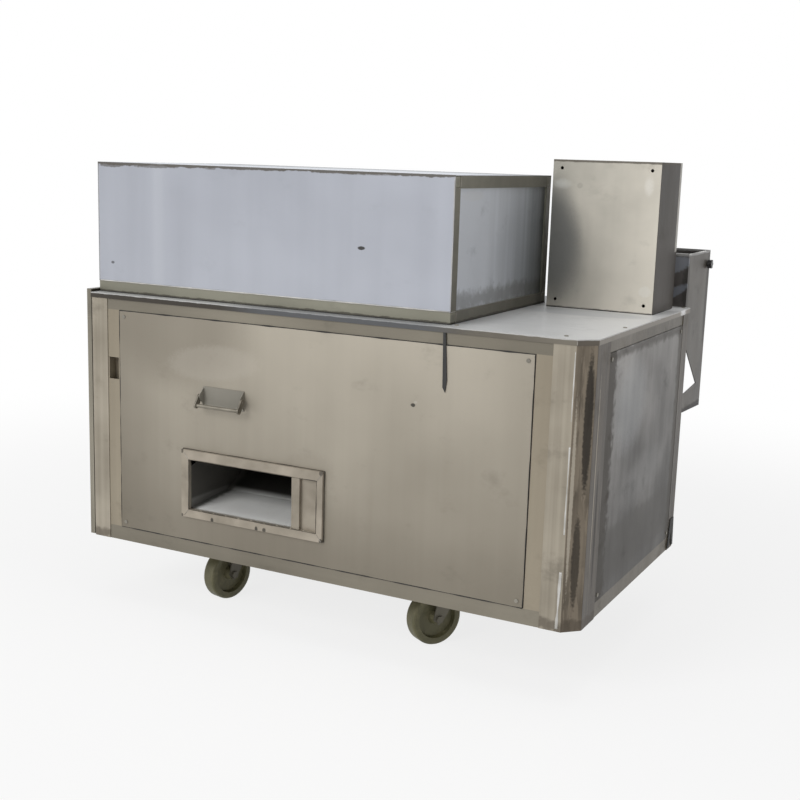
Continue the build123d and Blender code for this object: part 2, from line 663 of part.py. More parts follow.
def discharge_chute():
    """The sloping stainless floor that brings the pitted fruit down to the opening."""
    z0 = CUT_Z[0] - CHUTE_SHEET - SEAT_GAP
    y1, z1 = CHUTE_Y + CHUTE_LIP_RUN, z0 + CHUTE_LIP_RISE
    y2, z2 = y1 + CHUTE_RUN, z1 + CHUTE_RISE
    floor = [(CHUTE_Y, z0), (y1, z1), (y2, z2), (y2, z2 + CHUTE_BACK)]
    x0, x1 = CUT_LEFT - CHUTE_SHEET * 4, GATE_LEFT + CHUTE_SHEET * 4
    sheet = along(folded(floor, CHUTE_SHEET), x0, x1)
    chute = sheet + chute_wall(x0, floor) + chute_wall(x1 - CHUTE_SHEET, floor)
    x = (x0 + x1) / 2
    half = RAIL / 2
    leg = tube("Z", x - half, x + half, y1, y1 + RAIL, RAIL_TOP + PANEL_SHEET, z1 - 1.0, RAIL_WALL)
    y3, z3 = y1 + RAIL, z1 + RAIL * CHUTE_RISE / CHUTE_RUN
    saddle = along(outline((y1, z1 - RAIL), (y3, z1 - RAIL), (y3, z3), (y1, z1)), x - half, x + half)
    return chute + (leg + saddle)


# ---------------------------------------------------------------- small things on the front
def bail_pivot():
    """The y and z of the pins that the handle's bail swings on."""
    return (
        PANEL_FACE - HANDLE_REACH + HANDLE_CHEEK + BAIL_LENGTH * sin(radians(BAIL_LEAN)),
        BODY_Z + HANDLE_RISE,
    )


def handle_plate():
    """The back plate of the pull handle with its two ears, and a pin that stands out of each ear."""
    y, z = bail_pivot()
    x0 = HANDLE_LEFT + HANDLE_CHEEK_WIDTH + SLIDE_GAP
    x1 = HANDLE_LEFT + HANDLE_SPAN - HANDLE_CHEEK_WIDTH - SLIDE_GAP
    back, half, tip = PANEL_FACE, HANDLE_PLATE / 2, y - HANDLE_PIN * 2
    plate = block(x0, x1, back - HANDLE_SHEET, back, z - half, z + half)
    ear = outline((back, z + half), (back, z - half), (tip, z - HANDLE_PIN), (tip, z + HANDLE_PIN * 2))
    for x, pin in ((x0, HANDLE_LEFT), (x1 - HANDLE_SHEET, x1 - HANDLE_SHEET)):
        plate += along(ear, x, x + HANDLE_SHEET)
        plate += round_bar("X", pin, y, z, HANDLE_SHEET + HANDLE_CHEEK_WIDTH + SLIDE_GAP, HANDLE_PIN)
    return plate


def bail_handle():
    """The swinging part of the handle: a round bar between two flat cheeks, hanging as built."""
    y, z = bail_pivot()
    low = (y - BAIL_LENGTH * sin(radians(BAIL_LEAN)), z - BAIL_LENGTH * cos(radians(BAIL_LEAN)))
    bail = round_bar("X", HANDLE_LEFT, low[0], low[1], HANDLE_SPAN, HANDLE_BAR_RADIUS)
    cheek = loop((y, z), HANDLE_CHEEK, low, HANDLE_CHEEK)
    for x in (HANDLE_LEFT, HANDLE_LEFT + HANDLE_SPAN - HANDLE_CHEEK_WIDTH):
        bail += along(cheek, x, x + HANDLE_CHEEK_WIDTH)
    return bail - round_bar("X", HANDLE_LEFT - 1.0, y, z, HANDLE_SPAN + 2.0, HANDLE_PIN + SHAFT_FIT)


def rubber_strap():
    """The short strap that hangs from under the front lip, wider towards its end."""
    top, half = DECK_Z - DECK_LIP - SEAT_GAP, STRAP_WIDTH / 2
    low = top - RAIL + DECK_LIP
    face = outline(
        (STRAP_X - half / 2, top),
        (STRAP_X + half / 2, top),
        (STRAP_X + half * 1.6, low - STRAP_LENGTH * 0.75),
        (STRAP_X + half, low - STRAP_LENGTH),
        (STRAP_X, low - STRAP_LENGTH * 0.9),
    )
    return across(face, PANEL_FACE - SEAT_GAP - STRAP_SHEET, PANEL_FACE - SEAT_GAP)


def corner_buffer():
    """The rubber buffer on the foot of the rear right post, notched from below."""
    y1, z0 = CABINET_DEPTH - EDGE, BODY_Z + BUFFER_RISE
    y0, z1 = y1 - BUFFER_WIDTH, z0 + BUFFER_HEIGHT
    middle, notch = (y0 + y1) / 2, BUFFER_WIDTH / 4
    legs = [(middle - notch, z0), (middle, z0 + BUFFER_HEIGHT / 2), (middle + notch, z0)]
    face = outline((y0, z0), *legs, (y1, z0), (y1 - notch / 2, z1), (y0 + notch, z1))
    x0 = CABINET_LENGTH - EDGE + SEAT_GAP
    return along(face, x0, CABINET_LENGTH)


def panel_screws():
    """Domed screw heads at the corners of the front and right panels and along the deck."""
    inset = 16.0
    z_pair = (PANEL_Z[0] + inset, PANEL_Z[1] - inset)
    front = [(x, z) for x in (PANEL_LEFT + inset, PANEL_RIGHT - inset) for z in z_pair]
    heads = [round_bar("Y", x, PANEL_FACE - SCREW_HEIGHT, z, SCREW_HEIGHT, SCREW_RADIUS) for x, z in front]
    y_pair = (RIGHT_POST + POST_SIDE + inset, CABINET_DEPTH - POST_FACE - inset)
    face = CABINET_LENGTH - PANEL_FACE
    heads += [round_bar("X", face, y, z, SCREW_HEIGHT, SCREW_RADIUS) for y in y_pair for z in z_pair]
    deck = [
        (RIGHT_STILE + STILE_WIDTH + inset, RAIL),
        (CABINET_LENGTH - inset, CABINET_DEPTH / 3),
        (CABINET_LENGTH - inset, CABINET_DEPTH - inset),
        (HOOD_RIGHT + inset, RAIL),
        (HOOD_RIGHT + inset, CABINET_DEPTH - inset),
    ]
    heads += [round_bar("Z", x, y, DECK_Z, SCREW_HEIGHT, SCREW_RADIUS) for x, y in deck]
    return heads


# ---------------------------------------------------------------- hood
def hood_frame():
    """Twelve tubes: a base ring on the deck, four posts and a top ring."""
    wall, size = HOOD_TUBE_WALL, HOOD_TUBE
    members = []
    for z0 in (DECK_Z, TUBE_TOP - size):
        for y0 in (TUBE_FRONT, TUBE_BACK - size):
            members.append(tube("X", HOOD_LEFT, HOOD_RIGHT, y0, y0 + size, z0, z0 + size, wall))
        for x0 in (HOOD_LEFT, HOOD_RIGHT - size):
            y0, y1 = TUBE_FRONT + size + SEAT_GAP, TUBE_BACK - size - SEAT_GAP
            members.append(tube("Y", x0, x0 + size, y0, y1, z0, z0 + size, wall))
    for x0 in (HOOD_LEFT, HOOD_RIGHT - size):
        for y0 in (TUBE_FRONT, TUBE_BACK - size):
            z0, z1 = DECK_Z + size + SEAT_GAP, TUBE_TOP - size - SEAT_GAP
            members.append(tube("Z", x0, x0 + size, y0, y0 + size, z0, z1, wall))
    return members


def hood_front_sheet():
    """The front skin, from the base rail to the top."""
    face = folded([(HOOD_FRONT, HOOD_TOP), (HOOD_FRONT, DECK_Z + HOOD_TUBE)], HOOD_SHEET)
    return along(face, HOOD_LEFT, HOOD_RIGHT)


def hood_side_sheets():
    """The left and right skins, let in between the posts and the rails."""
    y0, y1 = TUBE_FRONT + HOOD_TUBE + SEAT_GAP, TUBE_BACK - HOOD_TUBE - SEAT_GAP
    z0, z1 = DECK_Z + HOOD_TUBE + SEAT_GAP, TUBE_TOP - HOOD_TUBE - SEAT_GAP
    left = block(HOOD_LEFT + HOOD_RECESS, HOOD_LEFT + HOOD_RECESS + HOOD_SHEET, y0, y1, z0, z1)
    right = block(HOOD_RIGHT - HOOD_RECESS - HOOD_SHEET, HOOD_RIGHT - HOOD_RECESS, y0, y1, z0, z1)
    return [left, right]


def hood_top_sheet():
    """The top skin on the upper ring."""
    return block(HOOD_LEFT, HOOD_RIGHT, TUBE_FRONT, HOOD_BACK, TUBE_TOP, HOOD_TOP)


def knuckle(axis, x, y, z, length):
    """One knuckle of a hinge round its pin, starting at a point."""
    barrel = round_bar(axis, x, y, z, length, HINGE_RADIUS)
    return barrel - round_bar(axis, x, y, z, length, HINGE_PIN + SHAFT_FIT)


def hood_door():
    """The rear flap of the hood, hinged along its top edge, with its pull and three hinge knuckles."""
    y0 = HOOD_BACK - HOOD_SHEET + SEAT_GAP
    x0, x1 = HOOD_LEFT + HOOD_DOOR_MARGIN, HOOD_RIGHT - HOOD_DOOR_MARGIN
    z0, z1 = DECK_Z + HOOD_DOOR_MARGIN, HOOD_AXIS[1] - HINGE_RADIUS - 2.0
    door = tray(x0, x1, y0, y0 + HOOD_DOOR_DEPTH, z0, z1, HOOD_SHEET, "-Y")
    pull_length, pull_depth = DOOR_PULL
    middle, low = (x0 + x1) / 2, z0 + RAIL
    face = y0 + HOOD_DOOR_DEPTH
    path = [(middle - pull_length / 2, face), (middle - pull_length / 2, face + pull_depth)]
    path += [(middle + pull_length / 2, face + pull_depth), (middle + pull_length / 2, face)]
    door += upward(folded(path[::-1], PULL_SHEET), low, low + HOOD_TUBE / 2)
    y, z = HOOD_AXIS
    half = HINGE_LEAF * 0.75
    for x in HOOD_HINGES:
        tab = block(x, x + HINGE_KNUCKLE, y - half, y + half, z1 - HOOD_SHEET, z - HINGE_PIN - 1.0)
        door += tab + knuckle("X", x, y, z, HINGE_KNUCKLE)
    return door


def hinge_half(axis, x, y, z, leaf):
    """The fixed half of a hinge: two knuckles on a leaf, and the pin through all three."""
    far = HINGE_KNUCKLE + SLIDE_GAP
    half = HINGE_KNUCKLE / 2
    fixed = leaf
    for start in (-half - SLIDE_GAP, far):
        shift = {"X": (start, 0, 0), "Z": (0, 0, start)}[axis]
        fixed += round_bar(axis, x + shift[0], y, z + shift[2], half, HINGE_RADIUS)
    start = {"X": (x - half, y, z), "Z": (x, y, z - half)}[axis]
    return fixed + round_bar(axis, *start, HINGE_KNUCKLE + 2 * half, HINGE_PIN)


def hinges():
    """Three hinges over the hood door and two beside the control box door."""
    half, far = HINGE_KNUCKLE / 2, HINGE_KNUCKLE * 1.5 + SLIDE_GAP
    y, z = HOOD_AXIS
    found = []
    for x in HOOD_HINGES:
        leaf = block(x - half, x + far, TUBE_BACK, TUBE_BACK + HINGE_LEAF, z, TUBE_TOP)
        x1, y1, z1 = x + HINGE_KNUCKLE + SLIDE_GAP, TUBE_BACK + HINGE_LEAF + 1.0, z + HINGE_RADIUS + 1.0
        leaf -= block(x - SLIDE_GAP, x1, TUBE_BACK - 1.0, y1, z - 1.0, z1)
        found.append(hinge_half("X", x, y, z, leaf))
    x, y = BOX_AXIS
    for rise in BOX_HINGES:
        z = DECK_Z + rise
        leaf = block(BOX_LEFT - HINGE_LEAF, BOX_LEFT, BOX_BACK - RAIL / 2, BOX_BACK, z - half, z + far)
        arm = block(BOX_LEFT - HINGE_LEAF, BOX_LEFT - SEAT_GAP, BOX_BACK - 1.0, y, z - half, z + far)
        x0, z0, z1 = BOX_LEFT - HINGE_LEAF - 1.0, z - SLIDE_GAP, z + HINGE_KNUCKLE + SLIDE_GAP
        arm -= block(x0, BOX_LEFT, BOX_BACK - SEAT_GAP, y + 1.0, z0, z1)
        found.append(hinge_half("Z", x, y, z, leaf + arm))
    return found


# ---------------------------------------------------------------- control box
def control_box_shell():
    """The enclosure: fixing holes in the back that faces the front, and a fixed lower face below the door."""
    x1 = BOX_LEFT + BOX_WIDTH
    shell = tray(BOX_LEFT, x1, BOX_FRONT, BOX_BACK, DECK_Z, BOX_TOP, BOX_SHEET, "+Y")
    rim = block(BOX_LEFT, x1, BOX_BACK - BOX_SHEET, BOX_BACK, DECK_Z, BOX_TOP)
    y0, y1 = BOX_BACK - BOX_SHEET - 1.0, BOX_BACK + 1.0
    rim -= block(BOX_LEFT + BOX_RIM, x1 - BOX_RIM, y0, y1, DECK_Z + BOX_RIM, BOX_TOP - BOX_RIM)
    shell += rim
    shell += tray(BOX_LEFT, x1, BOX_BACK - BOX_SHEET, BOX_FACE, DECK_Z, FASCIA_TOP, BOX_SHEET, "-Y")
    for sx in (-0.5, 0.5):
        for sz in (-0.5, 0.5):
            x, z = BOX_MIDDLE + sx * BOX_HOLES[0], DECK_Z + BOX_HEIGHT / 2 + sz * BOX_HOLES[1]
            shell -= round_bar("Y", x, BOX_FRONT - 1.0, z, BOX_SHEET + 2.0, BOX_HOLE_RADIUS)
    return shell


def control_gear():
    """The mounting plate in the box with the motor drive, the breaker and the row of terminals."""
    margin_x, margin_z = GEAR_MARGIN
    x0, x1 = BOX_LEFT + margin_x, BOX_LEFT + BOX_WIDTH - margin_x
    y0 = BOX_FRONT + BOX_SHEET + SEAT_GAP
    z0, z1 = DECK_Z + margin_z, BOX_TOP - margin_z
    gear = block(x0, x1, y0, y0 + GEAR_SHEET, z0, z1)
    x, front, top = x0 + GEAR_SPACE, y0 + GEAR_SHEET / 2, z1 - GEAR_SPACE
    for width, depth, height in GEAR_ROW:
        gear += block(x, x + width, front, front + depth, top - height, top)
        x += width + GEAR_GAP
    depth, height = TERMINALS
    low = z0 + GEAR_SPACE
    gear += block(x0 + GEAR_SPACE, x1 - GEAR_SPACE, front, front + depth, low, low + height)
    return gear


CONTROLS = {  # each control's place on the door: across from the middle, and down from the top
    "start_button": (48.0, 70.0),
    "stop_button": (-48.0, 70.0),
    "emergency_stop": (0.0, 165.0),
    "speed_knob": (0.0, 70.0),
}


def control_place(name):
    """The x and z of a control on the control box door."""
    across_, down = CONTROLS[name]
    return BOX_MIDDLE + across_, BOX_TOP - down


def latch_place():
    """The x and z of the door's cam lock, beside the free edge of the door."""
    return BOX_LEFT + BOX_WIDTH - BOX_RIM - LATCH_RADIUS - LATCH_INSET, (FASCIA_TOP + BOX_TOP) / 2


def control_box_door():
    """The door above the hopper's rim, with its collars, holes and two hinge knuckles."""
    x1 = BOX_LEFT + BOX_WIDTH
    y0 = BOX_BACK + SEAT_GAP
    door = tray(BOX_LEFT, x1, y0, BOX_FACE, FASCIA_TOP + PANEL_JOINT, BOX_TOP, BOX_SHEET, "-Y")
    for name in CONTROLS:
        x, z = control_place(name)
        if name != "speed_knob":
            door += round_bar("Y", x, BOX_FACE - 0.5, z, COLLAR_HEIGHT + 0.5, COLLAR_RADIUS)
            door -= round_bar("Y", x, BOX_FACE, z, COLLAR_HEIGHT + 1.0, BUTTON_RADIUS + SLIDE_GAP)
        door -= round_bar("Y", x, BOX_FACE - 2 * BOX_SHEET, z, 2 * BOX_SHEET + 1.0, BUTTON_STEM + SLIDE_GAP)
    x, z = latch_place()
    door -= round_bar("Y", x, BOX_FACE - 2 * BOX_SHEET, z, 2 * BOX_SHEET + 1.0, BUTTON_STEM + SLIDE_GAP)
    x, y = BOX_AXIS
    for rise in BOX_HINGES:
        z = DECK_Z + rise
        tab = block(x + HINGE_PIN + 1.0, BOX_LEFT + BOX_SHEET, y - 1.5, y + 1.5, z, z + HINGE_KNUCKLE)
        door += tab + knuckle("Z", x, y, z, HINGE_KNUCKLE)
    return door


def push_button(name):
    """A round cap on a stem, standing proud of its collar by more than its travel."""
    x, z = control_place(name)
    foot = BOX_FACE + BUTTON_TRAVEL + SLIDE_GAP
    cap = round_bar("Y", x, foot, z, BUTTON_CAP, BUTTON_RADIUS)
    return cap + round_bar("Y", x, foot - BUTTON_STEM_LENGTH, z, BUTTON_STEM_LENGTH + 1.0, BUTTON_STEM)


def emergency_stop():
    """The mushroom head, bevelled twice towards its crown, on the same stem as the buttons."""
    x, z = control_place("emergency_stop")
    foot = BOX_FACE + COLLAR_HEIGHT + BUTTON_TRAVEL + SLIDE_GAP
    radius, height = STOP_DOME, STOP_DOME_HEIGHT
    crown = [(radius, 0), (radius, height * 0.4), (radius * 0.85, height * 0.75), (radius * 0.5, height)]
    head = Pos(x, foot, z) * revolve(outline((0, 0), *crown, (0, height)), axis=Axis.Y)
    neck = round_bar("Y", x, BOX_FACE + SLIDE_GAP + BUTTON_TRAVEL, z, COLLAR_HEIGHT + 1.0, BUTTON_RADIUS)
    length = BUTTON_STEM_LENGTH + COLLAR_HEIGHT
    stem = round_bar("Y", x, foot - length, z, length + 1.0, BUTTON_STEM)
    return head + neck + stem


def speed_knob():
    """A tapered knob with one flat pointer rib."""
    x, z = control_place("speed_knob")
    y0 = BOX_FACE + SLIDE_GAP
    knob = round_bar("Y", x, y0, z, 3.0, KNOB_RADIUS)
    knob += round_bar("Y", x, y0, z, KNOB_HEIGHT, KNOB_RADIUS * 0.8)
    knob += block(x - 2.0, x + 2.0, y0, y0 + KNOB_HEIGHT + 1.0, z, z + KNOB_RADIUS - 1.0)
    return knob + round_bar("Y", x, y0 - BUTTON_STEM_LENGTH, z, BUTTON_STEM_LENGTH + 1.0, BUTTON_STEM)


def door_latch():
    """The cam lock, open as built: a slotted disc outside and a cam inside that turns behind the rim."""
    x, z = latch_place()
    disc = round_bar("Y", x, BOX_FACE + SLIDE_GAP, z, 5.0, LATCH_RADIUS)
    disc -= block(x - 1.5, x + 1.5, BOX_FACE + 3.0, BOX_FACE + 9.0, z - 6.0, z + 6.0)
    y0 = BOX_BACK - BOX_SHEET - LATCH_GAP - 2.0
    stem = round_bar("Y", x, y0, z, BOX_FACE - y0 + 1.0, BUTTON_STEM)
    return disc + stem + block(x - 6.0, x + 6.0, y0, y0 + 2.0, z - LATCH_CAM, z + 6.0)


# ---------------------------------------------------------------- conveyor
def slat(x, z, turn):
    """One mould plate with a row of eight-sided cups, its inner face on the chain, turned by degrees."""
    half = (SLAT_PITCH - SLAT_GAP) / 2
    plate = block(-half, half, -SLAT_HALF, SLAT_HALF, 0, SLAT_THICKNESS)
    for row in range(CUP_ROWS):
        y = (row - (CUP_ROWS - 1) / 2) * CUP_PITCH
        cup = RegularPolygon(CUP_RADIUS, 8)
        plate -= upward(Pos(0, y) * cup, -1.0, SLAT_THICKNESS + 1.0)
    return Pos(x, CONVEYOR_Y, z) * Rotation(0, turn, 0) * plate


def conveyor_slats():
    """The endless belt of mould plates: the two runs, and the plates that go round each end."""
    plates = []
    for number in range(RUN_SLATS):
        x = HEAD_X + (number + 0.5) * SLAT_PITCH
        plates.append(slat(x, SHAFT_Z + CHAIN_RADIUS, 0))
        plates.append(slat(x, SHAFT_Z - CHAIN_RADIUS, 180))
    step = 180.0 / TURN_SLATS
    for number in range(TURN_SLATS):
        turn = (number + 0.5) * step
        for x, side in ((TAIL_X, 1), (HEAD_X, -1)):
            reach_x = side * SLAT_APOTHEM * sin(radians(turn))
            plates.append(slat(x + reach_x, SHAFT_Z + SLAT_APOTHEM * cos(radians(turn)), side * turn))
    return plates


def conveyor_chains():
    """The two endless chains beside the moulds, as plain bands."""
    ends = (HEAD_X, SHAFT_Z), (TAIL_X, SHAFT_Z)
    outer, inner = CHAIN_RADIUS + CHAIN_HEIGHT / 2, CHAIN_RADIUS - CHAIN_HEIGHT / 2
    band = loop(ends[0], outer, ends[1], outer) - loop(ends[0], inner, ends[1], inner)
    near, far = CONVEYOR_Y - CHAIN_OFFSET, CONVEYOR_Y + CHAIN_OFFSET
    return [across(band, near - CHAIN_WIDTH, near), across(band, far, far + CHAIN_WIDTH)]


def conveyor_track():
    """The two side plates that carry the shafts, hung from the cross rails and notched for the pits."""
    low, mid, high = SHAFT_Z - RAIL, STRIPPER_Z, TOP_RAIL_Z
    left, right = HEAD_X - TRACK_OVERHANG, TAIL_X + TRACK_OVERHANG
    ear = CROSS_RAILS[0] + RAIL
    near, far, top = PUNCH_X - NOTCH_HALF, PUNCH_X + NOTCH_HALF, SHAFT_Z + NOTCH_RISE
    points = [(left, low), (near, low), (near, top), (far, top), (far, low), (right, low), (right, high)]
    points += [(CROSS_RAILS[1], high), (CROSS_RAILS[1], mid), (ear, mid), (ear, high), (left, high)]
    plates = []
    for y0 in (CONVEYOR_Y - TRACK_OUTER, CONVEYOR_Y + TRACK_OFFSET):
        plate = across(outline(*points), y0, y0 + TRACK_PLATE)
        for x in (HEAD_X, TAIL_X):
            plate -= round_bar("Y", x, y0 - 1.0, SHAFT_Z, TRACK_PLATE + 2.0, SHAFT_RADIUS + SHAFT_FIT)
        plate -= round_bar("Y", BRUSH_X, y0 - 1.0, BRUSH_Z, TRACK_PLATE + 2.0, BRUSH_CORE + SHAFT_FIT)
        plates.append(plate)
    return plates


def bearing_housings():
    """Four flanged bearings on the track plates and two pillow blocks under the crankshaft."""
    found = []
    hole = SHAFT_RADIUS + SHAFT_FIT
    for x in (HEAD_X, TAIL_X):
        for y0 in (CONVEYOR_Y - TRACK_OUTER - BEARING_HEIGHT, CONVEYOR_Y + TRACK_OUTER):
            ring = round_bar("Y", x, y0, SHAFT_Z, BEARING_HEIGHT, BEARING_RADIUS)
            found.append(ring - round_bar("Y", x, y0 - 1.0, SHAFT_Z, BEARING_HEIGHT + 2.0, hole))
    z0 = HEAD_Z + HEAD_PLATE
    half = PILLOW_WIDTH / 2
    for y in (CONVEYOR_Y - PILLOW_OFFSET, CONVEYOR_Y + PILLOW_OFFSET):
        reach = PILLOW_LENGTH / 2
        foot = block(PUNCH_X - reach, PUNCH_X + reach, y - half, y + half, z0, z0 + PILLOW_FOOT)
        web = across(
            outline(
                (PUNCH_X - BEARING_RADIUS - 8.0, z0),
                (PUNCH_X + BEARING_RADIUS + 8.0, z0),
                (PUNCH_X + BEARING_RADIUS - 1.0, CRANK_Z),
                (PUNCH_X - BEARING_RADIUS + 1.0, CRANK_Z),
            ),
            y - half,
            y + half,
        )
        head = round_bar("Y", PUNCH_X, y - half, CRANK_Z, PILLOW_WIDTH, BEARING_RADIUS)
        bore = round_bar("Y", PUNCH_X, y - half - 1.0, CRANK_Z, PILLOW_WIDTH + 2.0, hole)
        found.append(foot + web + head - bore)
    return found


def conveyor_shaft(x, front, back):
    """A conveyor shaft with its two chain wheels, reaching front and back past the middle."""
    shaft = round_bar("Y", x, CONVEYOR_Y - front, SHAFT_Z, front + back, SHAFT_RADIUS)
    reach = CHAIN_RADIUS - CHAIN_HEIGHT / 2 - LIP_GAP
    wheel = Pos(x, SHAFT_Z) * sprocket(SPROCKET_TEETH, reach, TOOTH_DEPTH)
    for y0 in (CONVEYOR_Y - CHAIN_OFFSET - CHAIN_WIDTH, CONVEYOR_Y + CHAIN_OFFSET):
        shaft += across(wheel, y0, y0 + CHAIN_WIDTH)
    return shaft


def brush_roller():
    """The sweeping brush over the feed end: a core shaft in rows of bristle."""
    reach = TRACK_OUTER + BEARING_HEIGHT
    core = round_bar("Y", BRUSH_X, CONVEYOR_Y - reach, BRUSH_Z, 2 * reach, BRUSH_CORE)
    step = 2 * pi / BRUSH_ROWS
    points = []
    for row in range(BRUSH_ROWS):
        for turn, radius in ((-0.3, BRUSH_RADIUS), (0.3, BRUSH_RADIUS), (0.5, BRUSH_RADIUS * 0.6)):
            angle = (row + turn) * step
            points.append((BRUSH_X + radius * cos(angle), BRUSH_Z + radius * sin(angle)))
    return core + across(outline(*points), CONVEYOR_Y - SLAT_HALF, CONVEYOR_Y + SLAT_HALF)


# ---------------------------------------------------------------- punch head
def needle_places():
    """The x and y of every needle: two rows, one over each of two neighbouring mould plates."""
    return [
        (PUNCH_X + side * SLAT_PITCH / 2, CONVEYOR_Y + (row - (CUP_ROWS - 1) / 2) * CUP_PITCH)
        for side in (-1, 1)
        for row in range(CUP_ROWS)
    ]


def stripper_plate():
    """The hold-down plate across the track, with a hole for each needle."""
    half, z0, z1 = HEAD_WIDTH / 2, STRIPPER_Z, STRIPPER_Z + STRIPPER_SHEET
    y0, y1 = CONVEYOR_Y - TRACK_OUTER, CONVEYOR_Y + TRACK_OUTER
    plate = block(PUNCH_X - half, PUNCH_X + half, y0, y1, z0, z1)
    for x, y in needle_places():
        plate -= upward(Pos(x, y) * RegularPolygon(STRIPPER_HOLE, 8), z0 - 1.0, z1 + 1.0)
    return plate


def guide_columns():
    """The two ground columns from the stripper plate to the head plate."""
    z0 = STRIPPER_Z + STRIPPER_SHEET
    places = (CONVEYOR_Y - COLUMN_OFFSET, CONVEYOR_Y + COLUMN_OFFSET)
    return [round_bar("Z", PUNCH_X, y, z0, HEAD_Z - z0, COLUMN_RADIUS) for y in places]


def head_plate():
    """The plate on top of the columns that carries the crankshaft, notched for the drive chain."""
    x0, x1, z1 = PUNCH_X - HEAD_WIDTH / 2, PUNCH_X + HEAD_WIDTH / 2, HEAD_Z + HEAD_PLATE
    plate = block(x0, x1, CONVEYOR_Y - HEAD_HALF, CONVEYOR_Y + HEAD_HALF, HEAD_Z, z1)
    notch_x, half = x0 + HEAD_WIDTH / 4, DRIVE_WIDTH * 1.5
    notch = block(notch_x, x1 + 1.0, CONVEYOR_Y - half, CONVEYOR_Y + half, HEAD_Z - 1.0, z1 + 1.0)
    return plate - notch


def needle_beam():
    """The cross beam that carries the needles, bored for the columns, with a wrist pin at each end."""
    x0, x1, z1 = PUNCH_X - HEAD_WIDTH / 2, PUNCH_X + HEAD_WIDTH / 2, BEAM_Z + BEAM_THICKNESS
    beam = block(x0, x1, CONVEYOR_Y - BEAM_HALF, CONVEYOR_Y + BEAM_HALF, BEAM_Z, z1)
    for y in (CONVEYOR_Y - COLUMN_OFFSET, CONVEYOR_Y + COLUMN_OFFSET):
        beam -= round_bar("Z", PUNCH_X, y, BEAM_Z - 1.0, BEAM_THICKNESS + 2.0, COLUMN_RADIUS + SHAFT_FIT)
    spacer = ROD_OFFSET - BEAM_HALF - SLIDE_GAP
    end = ROD_OFFSET + ROD_THICKNESS + SLIDE_GAP
    for side in (-1, 1):
        for reach, radius in ((spacer, WRIST_SPACER), (end - BEAM_HALF, WRIST_PIN)):
            y0 = CONVEYOR_Y + side * BEAM_HALF - (reach if side < 0 else 0)
            beam += round_bar("Y", PUNCH_X, y0, WRIST_Z, reach, radius)
        y0 = CONVEYOR_Y + side * end - (6.0 if side < 0 else 0)
        beam += round_bar("Y", PUNCH_X, y0, WRIST_Z, 6.0, WRIST_SPACER)
    return beam


def needles():
    """The pitting needles under the beam, each with a cupped cone for a point."""
    found = []
    for x, y in needle_places():
        shank = NEEDLE_LENGTH - NEEDLE_POINT
        z0 = BEAM_Z - SEAT_GAP - NEEDLE_LENGTH
        needle = round_bar("Z", x, y, z0 + NEEDLE_POINT, shank, NEEDLE_RADIUS)
        point = Cone(NEEDLE_TIP, NEEDLE_RADIUS, NEEDLE_POINT, align=(Align.CENTER, Align.CENTER, Align.MIN))
        found.append(needle + Pos(x, y, z0) * point)
    return found


def crankshaft():
    """The shaft with a chain wheel in the middle and a crank disc and boss at each end."""
    reach = DISC_OFFSET + CRANK_DISC_WIDTH
    shaft = round_bar("Y", PUNCH_X, CONVEYOR_Y - reach, CRANK_Z, 2 * reach, SHAFT_RADIUS)
    for side in (-1, 1):
        y0 = CONVEYOR_Y + (DISC_OFFSET if side > 0 else -reach)
        shaft += round_bar("Y", PUNCH_X, y0, CRANK_Z, CRANK_DISC_WIDTH, CRANK_DISC)
        y0 = CONVEYOR_Y + (reach if side > 0 else -reach - CRANK_BOSS_HEIGHT)
        shaft += round_bar("Y", PUNCH_X, y0, CRANK_Z + CRANK_THROW, CRANK_BOSS_HEIGHT, CRANK_BOSS)
    wheel = Pos(PUNCH_X, CRANK_Z) * sprocket(SPROCKET_TEETH + 4, DRIVE_SPROCKET - LIP_GAP, TOOTH_DEPTH * 0.6)
    return shaft + across(wheel, CONVEYOR_Y - DRIVE_WIDTH / 2, CONVEYOR_Y + DRIVE_WIDTH / 2)


def connecting_rod(side):
    """A rod with a big end at the crank boss and a small end on the wrist pin."""
    y0 = CONVEYOR_Y + (ROD_OFFSET if side > 0 else -ROD_OFFSET - ROD_THICKNESS)
    top = CRANK_Z + CRANK_THROW
    rod = round_bar("Y", PUNCH_X, y0, top, ROD_THICKNESS, ROD_BIG_END)
    rod += round_bar("Y", PUNCH_X, y0, WRIST_Z, ROD_THICKNESS, ROD_SMALL_END)
    rod += block(PUNCH_X - ROD_SHANK / 2, PUNCH_X + ROD_SHANK / 2, y0, y0 + ROD_THICKNESS, WRIST_Z, top)
    cap = y0 + (ROD_THICKNESS - 1.0 if side > 0 else -7.0)
    rod += round_bar("Y", PUNCH_X, cap, top, 8.0, CRANK_BOSS)
    return rod - round_bar("Y", PUNCH_X, y0 - 1.0, WRIST_Z, ROD_THICKNESS + 2.0, WRIST_PIN + SHAFT_FIT)


def drive_chain():
    """The chain from the motor to the crankshaft, as a plain band."""
    ends = (PUNCH_X, CRANK_Z), (MOTOR_X, MOTOR_Z)
    band = loop(ends[0], DRIVE_SPROCKET + DRIVE_CHAIN, ends[1], MOTOR_SPROCKET + DRIVE_CHAIN)
    band -= loop(ends[0], DRIVE_SPROCKET, ends[1], MOTOR_SPROCKET)
    return across(band, CONVEYOR_Y - DRIVE_WIDTH / 2, CONVEYOR_Y + DRIVE_WIDTH / 2)


